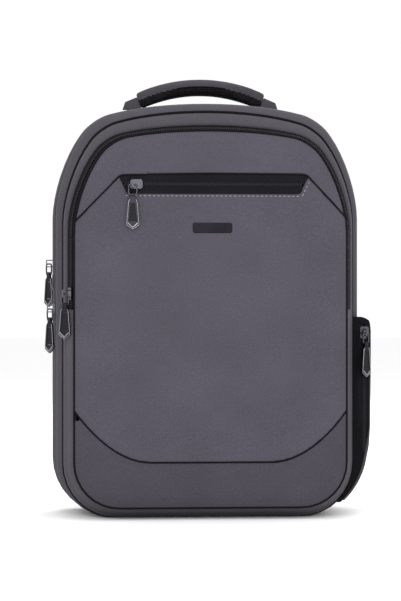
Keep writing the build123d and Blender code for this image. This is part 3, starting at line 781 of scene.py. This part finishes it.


# %% [markdown]
# Where a piece crosses the fold of the front cover it is cut in two between the two folds, and each half's
# cut is closed.

# %% Split at the fold
def half_mesh(obj, name, upper):
    """A copy of the part of an object above or below the split, with its cut closed."""
    bm = bmesh.new()
    bm.from_mesh(obj.data)
    sides = {"clear_inner": upper, "clear_outer": not upper}
    cut = cut_flat(bm, (0, 0, PANEL_SPLIT), (0, 0, 1), dist=1e-7, **sides)
    rim = [e for e in cut["geom_cut"] if isinstance(e, bmesh.types.BMEdge) and e.is_boundary]
    caps = bmesh.ops.holes_fill(bm, edges=rim)["faces"]
    for face in caps:
        for edge in face.edges:
            edge.smooth = False
    mesh = bpy.data.meshes.new(name)
    bm.to_mesh(mesh)
    bm.free()
    for material in obj.data.materials:
        mesh.materials.append(material)
    half = bpy.data.objects.new(name, mesh)
    bpy.context.scene.collection.objects.link(half)
    return half


def split_piece(obj, name, slot, nodes_low=(), nodes_high=()):
    """Cuts a piece at the fold and dresses its two halves."""
    dress(half_mesh(obj, f"{name}_low", False), LOWER_FOLD, slot, *nodes_low)
    dress(half_mesh(obj, f"{name}_high", True), COVER_FOLD, slot, *nodes_high)
    bpy.data.objects.remove(obj)


# %% The three front pieces
top_piece = front_piece("front_top", OUTLINES["top"], 0.4, 0.6, canvas, lining)
dress(top_piece, "cover", "panel_fabric", "front_panel_cover")
central = front_piece("front_central", OUTLINES["central"], 1.1, 1.2, canvas, lining)
split_piece(central, "front_central", "panel_fabric", ["front_panel_band"])
lower_piece = front_piece("front_lower", OUTLINES["lower"], 0.3, 0.8, lower_canvas, lining)
dress(lower_piece, "bag", "panel_fabric", "front_panel_lower")
for piece in (top_piece, lower_piece):
    print(piece.name, "faces:", len(piece.data.polygons))

# %% [markdown]
# ## Piping and painted seam shade
# A thin black piping is caught in the seam round the front, another round the back. The seams between the
# front pieces, and the seam that rings the gusset, sink in, and their shade is painted as black cords laid
# along them.

# %% Piping and painted seam shade cords
def ring_tube(name, points, radius):
    """A closed piping that stays above the floor."""
    bm = bmesh.new()
    tube(bm, points, radius, closed=True)
    for vert in bm.verts:
        vert.co.z = max(vert.co.z, ABOVE_FLOOR / 2)
    return make_piece(name, bm, black_canvas)


def on_front(pairs, sink=0.2):
    """Points that follow the front's surface, from (x, z) pairs in mm."""
    spread = evenly(flat(pairs), 4 * MM)
    return [Vector((p.x, face_depth(p.x, p.z) + sink * MM, p.z)) for p, _ in spread]


split_piece(ring_tube("front_piping", seam(FACE_LINE, -0.2), 1.25), "front_piping", "black_fabric")
# The gusset cord is a black tube laid in the seam's groove as painted shade.
dress(ring_tube("gusset_seam_shade_cord", seam(SEAM_LINE, 0.5), 1.9), LOWER_FOLD, "black_fabric")
back_piping = ring_tube("back_piping", seam(BACK_LINE, 0.4, 74.2), 1.6)
dress(back_piping, "bag", "black_fabric")

# These two cords are black tubes laid along the seams between the front pieces, as painted shade.
curve = on_front([(x, curve_height(x)) for x in range(-146, 147, 4)], -0.1)
dress(tube_piece("lower_seam_shade_cord", curve, 0.95, black_canvas), "bag", "black_fabric")
roof = on_front(ROOF_TOP, -0.2)
dress(tube_piece("roof_seam_shadow_cord", roof, 0.8, black_canvas), "cover", "black_fabric")

# %% [markdown]
# ## The front pocket's zip
# Just under the roof line of the central piece lies a slot, wider at its top. Two black tapes fill it,
# with the coil between them. A dashed line of paler thread runs below it and up its right end.

# %% Pocket zip
SLOT_FLOOR, SLOT_MIDDLE = 348.2, 357.5
SLOT_CENTRE, SLOT_SLANT = 2, 0.53


def slot_tape(name, low, high):
    """A flat tape across the slot between two heights, its ends cut to the slot's slant."""
    corners = []
    for height, signs in ((low, (-1, 1)), (high, (1, -1))):
        half = 94.0 + (height - SLOT_FLOOR) * SLOT_SLANT
        corners += [(SLOT_CENTRE + sign * half, height) for sign in signs]
    bm = bmesh.new()
    face = bm.faces.new([bm.verts.new(p) for p in flat(corners, -83.2)])
    bmesh.ops.subdivide_edges(bm, edges=face.edges[:], cuts=1, use_grid_fill=True)
    drawn_out(bm, bm.faces[:], (0, -1 * MM, 0))
    return make_piece(name, bm, zip_tape, smooth=False)


upper_tape = slot_tape("pocket_upper_tape", SLOT_MIDDLE + 0.8, 368.0)
lower_tape = slot_tape("pocket_lower_tape", 347.0, SLOT_MIDDLE - 0.8)
dress(upper_tape, "cover", "zip_tape", "pocket_zip_tapes")
dress(lower_tape, "cover", "zip_tape")
for word, sign in (("upper", 1), ("lower", -1)):
    bm = bmesh.new()
    run = flat([(-92, SLOT_MIDDLE + sign * 0.9), (97, SLOT_MIDDLE + sign * 0.9)], -84.9)
    for place, along in evenly(run, COIL_PITCH):
        spot = place + along * (COIL_PITCH / 2 if sign > 0 else 0)
        size = (1.5 * MM, 3.6 * MM, 1.9 * MM)
        add_bead(bm, spot, along, Vector((0, 0, 1)), Vector((0, -1, 0)), size)
    dress(make_piece(f"pocket_{word}_coil", bm, coil_nylon, recalc=False), "cover", "zip_tape")

PUFFED = -1.2      # how far the central piece stands in front of the seams, mm
below = on_front([(-90, 345.0), (96.5, 345.0)], PUFFED)
dress(stitches("pocket_stitches", below, pale_thread), "cover", "panel_fabric")
rising = on_front([(98.0, 346.5), (105.5, 362.0)], PUFFED)
dress(stitches("pocket_end_stitches", rising, pale_thread), "cover", "panel_fabric")

# %% [markdown]
# ## Metalwork that keeps its CAD shape
# The sliders, wire loops, pullers, nameplate, port and buckles are hard parts whose CAD shape is already
# right. They only need their finish, put in the CAD object's own material slots.

# %% Finishes for the hard parts
def finish_nodes(material, *names):
    for name in names:
        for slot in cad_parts[name].material_slots:
            slot.material = material


ZIPS = ("pocket_zip", "front_zip", "main_zip", "laptop_zip", "side_zip")
finish_nodes(gunmetal, *[f"{z}_{part}" for z in ZIPS for part in ("slider", "loop")])
finish_nodes(black_nickel, *[f"{z}_puller" for z in ZIPS])
finish_nodes(rubber, *[f"{z}_puller_inlay" for z in ZIPS])
finish_nodes(badge_metal, "emblem_badge")
finish_nodes(black_plastic, "port_bezel", "strap_buckle_left", "strap_buckle_right")
finish_nodes(bright_metal, "port_socket")
print("hard parts finished:", 4 * len(ZIPS) + 5)

# %% [markdown]
# Each puller's edge carries a bright line of painted highlight, laid where its rounded edge catches the
# light, and its tip is a raised arrow. Both are thin tubes that ride on the puller. A puller hangs from the
# bar of its loop, so its outline is drawn from that bar and turned to the way it faces.

# %% Painted highlight rims and arrow tips of the pullers
HANGING = {      # place on the wall, way the wall faces, way the puller faces, how far the bar stands off
    "pocket_zip": ((-84, -86, 357.5), 0, 0, 2.95),
    "front_zip": ((-149.25, -68.5, 241), -71.9, -30, 6.4),
    "main_zip": ((-165, -16, 225), -90, -50, 5.6),
    "laptop_zip": ((-165, 51, 275), -90, -50, 5.6),
    "side_zip": ((170.5, -39.83, 199), 12.1, 40, 5.6),
}
RIM = [
    (3.2, -16.5), (4.4, -18.5), (6.6, -43.5), (0, -48.3), (-6.6, -43.5), (-4.4, -18.5), (-3.2, -16.5),
]
ARROW = [(5.6, -41.2), (0, -46.4), (-5.6, -41.2)]


def on_puller(zip_name, pairs, out):
    """Places in front of a puller's middle, from (x, z) pairs in mm measured from its loop's bar."""
    place, wall, turn, stand_off = HANGING[zip_name]
    wall, turn = radians(wall), radians(turn)
    bar = Vector(place) + Vector((sin(wall), -cos(wall), 0)) * stand_off
    side, face = Vector((cos(turn), sin(turn), 0)), Vector((sin(turn), -cos(turn), 0))
    corners = [(bar + side * x + face * out + Vector((0, 0, z))) * MM for x, z in pairs]
    return [place for place, _ in evenly(corners, 1.5 * MM)] + [corners[-1]]


# The rims are bright metal laid along each puller's edge as a painted highlight.
for zip_name in ZIPS:
    for word, pairs, out, radius in (("rim", RIM, 1.25, 0.38), ("arrow", ARROW, 1.5, 0.75)):
        line = on_puller(zip_name, pairs, out)
        highlight_line = tube_piece(f"{zip_name}_puller_{word}", line, radius, bright_metal, sides=6)
        dress(highlight_line, f"{zip_name}_puller", "zip_metal")

# %% [markdown]
# ### Spacer mesh
# Everything that touches the wearer is faced with a knitted 3-D mesh: two layers of open knit held apart by
# short upright yarns. Its holes are about 3 mm apart. They are drawn as the cells of a Voronoi pattern, with
# painted shade dark in the middle of each hole, and the knit standing up round them.

# %% Spacer mesh
def spacer_mesh_cloth(name, hole, knit, pitch=3.2 * MM):
    material, tree, shader = surface(
        name, knit, 0.8, Specular_IOR_Level=0.06
    )
    place = add(tree, "ShaderNodeTexCoord").outputs["Object"]
    cells = add(tree, "ShaderNodeTexVoronoi", {"Scale": 1 / pitch, "Randomness": 0.35}, Vector=place)
    ramp = add(tree, "ShaderNodeValToRGB", Fac=cells.outputs["Distance"])
    ramp.color_ramp.elements[0].position = 0.22
    # The hole colour, darker than the knit, is painted shade in each hole.
    ramp.color_ramp.elements[0].color = linear(hole)
    ramp.color_ramp.elements[1].position = 0.48
    ramp.color_ramp.elements[1].color = linear(knit)
    tree.links.new(ramp.outputs["Color"], shader.inputs["Base Color"])
    holes = {"Strength": 0.5, "Distance": 0.0008}
    dent = add(tree, "ShaderNodeBump", holes, Height=cells.outputs["Distance"])
    tree.links.new(dent.outputs["Normal"], shader.inputs["Normal"])
    return material


spacer_mesh = spacer_mesh_cloth("knitted_spacer_mesh", "#040405", "#151518")

# %% [markdown]
# ## Soft parts from their CAD solids
# Two helpers turn a plain CAD solid into something sewn. `soft_copy` remeshes it to even quads and
# relaxes them, for thick padded parts. `sewn_copy` merges the mesh and bevels its edges, for thin boards
# and cloth walls, which a remesh would tear. A padded part is then blown up by a short cloth simulation,
# as foam pushes its cover out, with a limit on how far a point may move.

# %% Soft and sewn copies
def soft_copy(name, node, voxel, rounds, *materials):
    """A remeshed, relaxed copy of a CAD node."""
    bm = bmesh.new()
    bm.from_mesh(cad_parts[node].data)
    bmesh.ops.remove_doubles(bm, verts=bm.verts[:], dist=1e-6)
    obj = remeshed(make_piece(name, bm, *materials), voxel)
    bm = bmesh.new()
    bm.from_mesh(obj.data)
    axes = {"use_axis_x": True, "use_axis_y": True, "use_axis_z": True}
    for _ in range(rounds):
        bmesh.ops.smooth_vert(bm, verts=bm.verts[:], factor=0.5, **axes)
    for face in bm.faces:
        face.smooth = True
    bm.to_mesh(obj.data)
    bm.free()
    return obj


def sewn_copy(name, node, radius, *materials):
    """A copy of a CAD node with its triangles merged and its sharp edges rounded."""
    bm = bmesh.new()
    bm.from_mesh(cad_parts[node].data)
    bmesh.ops.remove_doubles(bm, verts=bm.verts[:], dist=1e-6)
    bmesh.ops.dissolve_limit(bm, angle_limit=radians(1.5), verts=bm.verts[:], edges=bm.edges[:])
    sharp = [e for e in bm.edges if e.is_manifold and e.calc_face_angle() > radians(35)]
    bmesh.ops.bevel(
        bm, geom=sharp, offset=radius * MM, segments=2, profile=0.5, affect="EDGES",
        clamp_overlap=True, material=-1,
    )
    for edge in bm.edges:
        edge.smooth = not (edge.is_manifold and edge.calc_face_angle() > radians(40))
    return make_piece(name, bm, *materials)


def sewn(name, node, radius, body, slot, *materials):
    """A sewn copy that stands for its node on a body."""
    return dress(sewn_copy(name, node, radius, *materials), body, slot, node)


def inflated(obj, cap, frames):
    """Swells a closed skin with a short cloth simulation, no point moving more than cap mm."""
    before = [v.co.copy() for v in obj.data.vertices]
    skin = obj.modifiers.new("cloth", "CLOTH")
    skin.settings.quality = 5
    skin.settings.use_pressure = True
    skin.settings.uniform_pressure_force = 4.0
    skin.settings.effector_weights.gravity = 0
    skin.point_cache.frame_start = 1
    skin.point_cache.frame_end = frames
    for step in range(1, frames + 1):
        bpy.context.scene.frame_set(step)
    applied(obj)
    bpy.context.scene.frame_set(1)
    for vert, old in zip(obj.data.vertices, before):
        moved = vert.co - old
        if moved.length > cap * MM:
            vert.co = old + moved.normalized() * cap * MM
    for face in obj.data.polygons:
        face.use_smooth = True
    return obj


def two_faced(obj, is_second):
    """Gives the second material to the faces for which is_second says so."""
    for face in obj.data.polygons:
        face.material_index = 1 if is_second(face) else 0
    return obj

# %% [markdown]
# ## The carry handle
# The handle is a padded tube: grey canvas above, black mesh below, joined by a seam along each side. Its
# ends flatten into tabs that are sewn into the top seam of the back panel.

# %% Handle
HANDLE_CENTRE = Vector((0, 66, 308.5)) * MM
HANDLE_RADIUS = 165 * MM


def under_side(face):
    arm = face.center - HANDLE_CENTRE
    return (arm.x**2 + arm.z**2) ** 0.5 < HANDLE_RADIUS + 0.2 * MM


grip = soft_copy("handle_cover", "handle_grip", 1.6, 3, gusset_canvas, spacer_mesh)
two_faced(inflated(grip, cap=1.2, frames=12), under_side)
dress(grip, "handle", "heather_fabric", "handle_grip")

sewn("handle_tab_cloth", "handle_tabs", 0.8, "handle", "black_fabric", gusset_canvas)
sewn("handle_root_cloth", "handle_roots", 1.0, "bag", "black_fabric", gusset_canvas)


def handle_line(offset_y, offset_r, reach):
    """Points along the handle's arc, off its centreline, reaching some degrees to each side."""
    turns = [radians(-reach + 2 * reach * i / 60) for i in range(61)]
    far = HANDLE_RADIUS + offset_r * MM
    return [HANDLE_CENTRE + Vector((far * sin(t), offset_y * MM, far * cos(t))) for t in turns]


for word, side in (("front", -1), ("back", 1)):
    seam_tube = tube_piece(f"handle_{word}_seam", handle_line(side * 11.9, 0.2, 9.5), 0.8, black_canvas)
    dress(seam_tube, "handle", "black_fabric")
handle_low, handle_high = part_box("handle_grip")
print("handle in mm:", [round((b - a) * 1000) for a, b in zip(handle_low, handle_high)])

# %% [markdown]
# ## The side pocket
# The bottle pocket on the right is a black gusset that stands off the side, with a grey outer panel and a
# zip down its sloping front. Sewn down all round, it lies flatter than its CAD box, and its foot follows
# the bag's rounded corner. The meshes are cut across at even heights first, so that they can bend.

# %% Side pocket
POCKET_EDGE, CORNER = 176, 62      # where the pocket's edge starts, and the bag's corner radius, mm
EDGE_SHARE, FOOT_STRETCH, BEND_SHARE = 0.4, 1.25, 0.8


def sewn_down(obj):
    """Flattens a pocket piece's outer edge and bends its foot in along the bag's rounded corner."""
    bm = bmesh.new()
    bm.from_mesh(obj.data)
    cuts = [((POCKET_EDGE, 0, 0), (1, 0, 0))] + [((0, 0, z), (0, 0, 1)) for z in range(26, CORNER + 2, 3)]
    for place, across in cuts:
        cut_flat(bm, Vector(place) * MM, across)
    for vert in bm.verts:
        x, y, z = vert.co / MM
        if x > POCKET_EDGE:
            x = POCKET_EDGE + (x - POCKET_EDGE) * EDGE_SHARE
        if z < CORNER:
            z = CORNER - (CORNER - z) * FOOT_STRETCH
            x -= BEND_SHARE * (CORNER - (CORNER**2 - (CORNER - z) ** 2) ** 0.5)
        vert.co = Vector((x, y, z)) * MM
    bm.to_mesh(obj.data)
    bm.free()
    return obj


def outer_edge(height):
    """The front outer corner of the pocket at a height in mm: a parabola over its sloping front."""
    up = height - 24
    x = min(162 + 0.27865 * up - 0.000844 * up**2, 178)
    return Vector((x, -42.6 + (x - 157.6) * 0.215, height)) * MM


binding = tube_piece("side_pocket_binding", [outer_edge(z) for z in range(26, 151, 3)], 1.7, gusset_canvas)
dress(sewn_down(binding), "bag", "heather_fabric")
side_gusset = sewn_down(sewn_copy("side_pocket_wall", "side_pocket_gusset", 0.5, black_canvas))
dress(side_gusset, "bag", "black_fabric", "side_pocket_gusset")
side_panel = sewn_down(sewn_copy("side_pocket_cloth", "side_pocket_panel", 0.5, gusset_canvas))
dress(side_panel, "bag", "heather_fabric", "side_pocket_panel")
sewn("side_pocket_tape_cloth", "side_pocket_zip_tapes", 0.2, "bag", "zip_tape", zip_tape)

SIDE_ZIP_TURN = radians(12.1)
SIDE_ZIP_AT = Vector((170.5, -39.83, 0)) * MM
side_out = Vector((sin(SIDE_ZIP_TURN), -cos(SIDE_ZIP_TURN), 0))
side_across = Vector((cos(SIDE_ZIP_TURN), sin(SIDE_ZIP_TURN), 0))
side_coil = bmesh.new()
for step, sign in [(i, s) for i in range(56) for s in (-1, 1)]:
    height = (70 + step * 2.4 + (1.2 if sign > 0 else 0)) * MM
    spot = SIDE_ZIP_AT + side_across * sign * 1.0 * MM + side_out * 0.1 * MM + Vector((0, 0, height))
    size = (1.5 * MM, 3.4 * MM, 1.8 * MM)
    add_bead(side_coil, spot, Vector((0, 0, 1)), side_across, side_out, size)
dress(make_piece("side_pocket_coil", side_coil, coil_nylon, recalc=False), "bag", "zip_tape")

# %% [markdown]
# ## The back
# The back is a firm board faced with black cloth. On it lie two long pads beside the spine and one across
# the small of the back, with an open channel between them for air. The shoulder straps leave a stitched
# yoke at the top and come down to two corner plates.

# %% Back board, pads, yoke and feet
BOARD_FACE = 74.1 * MM

sewn("back_board_cloth", "back_board", 1.0, "bag", "black_fabric", black_canvas)
for node in ("back_pad_left", "back_pad_right", "back_pad_lumbar"):
    pad = soft_copy(f"{node}_cover", node, 3.0, 4, spacer_mesh)
    inflated(pad, cap=2.5, frames=14)
    for vert in pad.data.vertices:
        vert.co.y = max(vert.co.y, BOARD_FACE)
    dress(pad, "bag", "spacer_mesh", node)
    print(pad.name, "faces:", len(pad.data.polygons))
for node, radius in (("strap_yoke", 1.2), ("strap_feet", 1.0)):
    sewn(f"{node}_cloth", node, radius, "bag", "black_fabric", black_canvas)

# %% [markdown]
# ## Shoulder straps
# A strap is a long foam pad, canvas outside and mesh towards the wearer, bound along its edge with tape.
# Below it a ribbed webbing runs through a ladder-lock buckle to the corner plate.

# %% Strap pads and webbing
for side, word in ((-1, "left"), (1, "right")):
    pad = soft_copy(f"strap_{word}_cover", f"strap_pad_{word}", 2.5, 3, gusset_canvas, spacer_mesh)
    inflated(pad, cap=2.0, frames=14)
    two_faced(pad, lambda face: face.normal.y < 0.2)
    dress(pad, f"strap_{word}", "heather_fabric", f"strap_pad_{word}")
    sewn(f"strap_{word}_band", f"strap_webbing_{word}", 0.3, f"strap_{word}", "webbing", webbing)

# %% [markdown]
# A strap's shape is an arc over a straight line from its top anchor to its foot. The binding runs along
# both long edges of the pad, two rows of stitches run beside it on the outside, and a bar of webbing with
# its ladder of bar-tacks is sewn down the middle of the upper part, for hanging things on.

# %% Strap bindings, stitches and attachment webbing
STRAP_TOP, STRAP_FOOT = Vector((48, 84, 425)) * MM, Vector((132, 84, 40)) * MM
ARC_RADIUS, ARC_RISE, ARC_HALF = 406.71, 42.0, 180.0
BAR_SECTION = ((-10, 12.2), (-9.4, 13.8), (9.4, 13.8), (10, 12.2))      # across and height, mm
REARWARD = Vector((0, 1, 0))


def strap_point(side, along, across, height):
    """A place on a strap: mm down the arc's chord, mm to its side, mm above its inner face."""
    down = (STRAP_FOOT - STRAP_TOP).normalized()
    sideways = down.cross(REARWARD)
    turn = (along - ARC_HALF) / ARC_RADIUS
    far = ARC_RADIUS + height
    level = far * cos(turn) - (ARC_RADIUS - ARC_RISE)
    place = STRAP_TOP + (down * (ARC_HALF + far * sin(turn)) + sideways * across) * MM
    place.y += level * MM
    place.x *= side
    return place


def strap_run(side, across, height, start=34, stop=314):
    """Places along a strap at even steps."""
    return [strap_point(side, along, across, height) for along in range(start, stop + 1, 7)]


for side, word in ((-1, "left"), (1, "right")):
    body = f"strap_{word}"
    binding = bmesh.new()
    for across in (-30.6, 30.6):
        tube(binding, strap_run(side, across, 6.0), 2.2)
    dress(make_piece(f"{body}_binding", binding, webbing), body, "black_fabric")
    for row, across in enumerate((-25.0, 25.0)):
        line = strap_run(side, across, 12.6, 40, 306)
        name = f"{body}_stitches_{row}"
        dress(stitches(name, line, dark_thread, out=REARWARD, wide=1.0), body, "black_fabric")
    bar = bmesh.new()
    add_rows(bar, [strap_run(side, *spot, 62, 202) for spot in BAR_SECTION], closed=False)
    bar_piece = make_piece(f"{body}_utility_webbing", bar, webbing)
    dress(thickened(bar_piece, 1.2), body, "webbing")
    sleeve = bmesh.new()
    sleeve_rows = []
    for along in (23, 27, 31, 36):
        height = 6 + (along - 36) * 0.12
        sleeve_rows.append([strap_point(side, along, across, height) for across in range(-24, 25, 8)])
    add_rows(sleeve, sleeve_rows, closed=False)
    sleeve_piece = make_piece(f"{body}_top_sleeve", sleeve, black_canvas)
    dress(thickened(sleeve_piece, 6, offset=0), body, "black_fabric")
    tacks = bmesh.new()
    for along in range(64, 201, 34):
        for step in range(-4, 5):
            place = strap_point(side, along, step * 2.1, 14.4)
            size = (1.1 * MM, 4.2 * MM, 1.0 * MM)
            add_bead(tacks, place, Vector((1, 0, 0)), Vector((0, 0, 1)), REARWARD, size)
    dress(make_piece(f"{body}_bar_tacks", tacks, dark_thread), body, "webbing")

# %% [markdown]
# The pads on the back are sewn down in channels, so that they flex. Each channel is a line of stitches in
# a shallow groove, and a tape binds the edge of each pad to the board.

# %% Pad channels and edge tape
GROOVE, GROOVE_REACH = 3.2, 7      # depth of a channel and its reach to each side, mm


def rectangle(x0, x1, z0, z1, radius, y):
    """A rounded rectangle standing at a depth, as a closed line."""
    corners = [(x1, z0, radius), (x1, z1, radius), (x0, z1, radius), (x0, z0, radius)]
    return rounded_line(corners, y, steps=6)


for name, x0, x1, z0, z1 in (
    ("left", -118, -16, 128, 398), ("right", 16, 118, 128, 398), ("lumbar", -96, 96, 24, 116)
):
    outline = rectangle(x0, x1, z0, z1, 22, 74.9)
    edge = tube_piece(f"pad_{name}_edge_tape", outline, 1.7, webbing, closed=True)
    dress(edge, "bag", "black_fabric")
    pad = bpy.data.objects[f"back_pad_{name}_cover"]
    shares = (0.5,) if name == "lumbar" else (0.25, 0.5, 0.75)
    levels = [z0 + (z1 - z0) * share for share in shares]
    for vert in pad.data.vertices:
        if vert.co.y > 77 * MM:
            nearest = min(abs(vert.co.z / MM - level) for level in levels)
            vert.co.y -= GROOVE * MM * max(0.0, 1 - nearest / GROOVE_REACH) ** 2
    for row, level in enumerate(levels):
        line = flat([(x0 + 6, level), (x1 - 6, level)], 79.6)
        channel = stitches(f"pad_{name}_channel_{row}", line, dark_thread, out=REARWARD, wide=1.0)
        dress(channel, "bag", "black_fabric")
    print("pad", name, "channels:", len(levels))

# %% [markdown]
# ## The inside
# The compartments are divided by lined boards, with an organiser pocket on the partition, a pocket for a
# power bank beside the port, a stiff base, and the bag of the front pocket behind its zip.

# %% Inside pieces
for node, body, radius in (
    ("partition_lower", "bag", 0.8),
    ("partition_upper", "front_section", 0.8),
    ("organiser_pocket", "front_section", 0.5),
    ("laptop_divider", "bag", 1.2),
    ("power_bank_pocket", "bag", 0.6),
    ("base_board", "bag", 1.0),
    ("pocket_bag", "cover", 0.5),
):
    inner = sewn(f"{node}_cloth", node, radius, body, "lining", lining)
    print(inner.name, "faces:", len(inner.data.polygons))

# %% [markdown]
# ## The floor
# The bag stands on a plain pale sweep.

# %% Floor
floor_mesh = bmesh.new()
bmesh.ops.create_grid(floor_mesh, x_segments=1, y_segments=1, size=12)
pale_floor, floor_tree, floor_shader = surface("matt_painted_floor", "#FAFAFA", 0.9, Specular_IOR_Level=0.2)
floor_place = add(floor_tree, "ShaderNodeTexCoord").outputs["Object"]
floor_grain = add(floor_tree, "ShaderNodeTexNoise", {"Scale": 90.0, "Detail": 3.0}, Vector=floor_place)
paint = {"Strength": 0.02, "Distance": 0.0005}
floor_dent = add(floor_tree, "ShaderNodeBump", paint, Height=floor_grain.outputs["Fac"])
floor_tree.links.new(floor_dent.outputs["Normal"], floor_shader.inputs["Normal"])
floor = make_piece("floor", floor_mesh, pale_floor, recalc=False)
print("floor size in m:", round(floor.dimensions.x, 1))
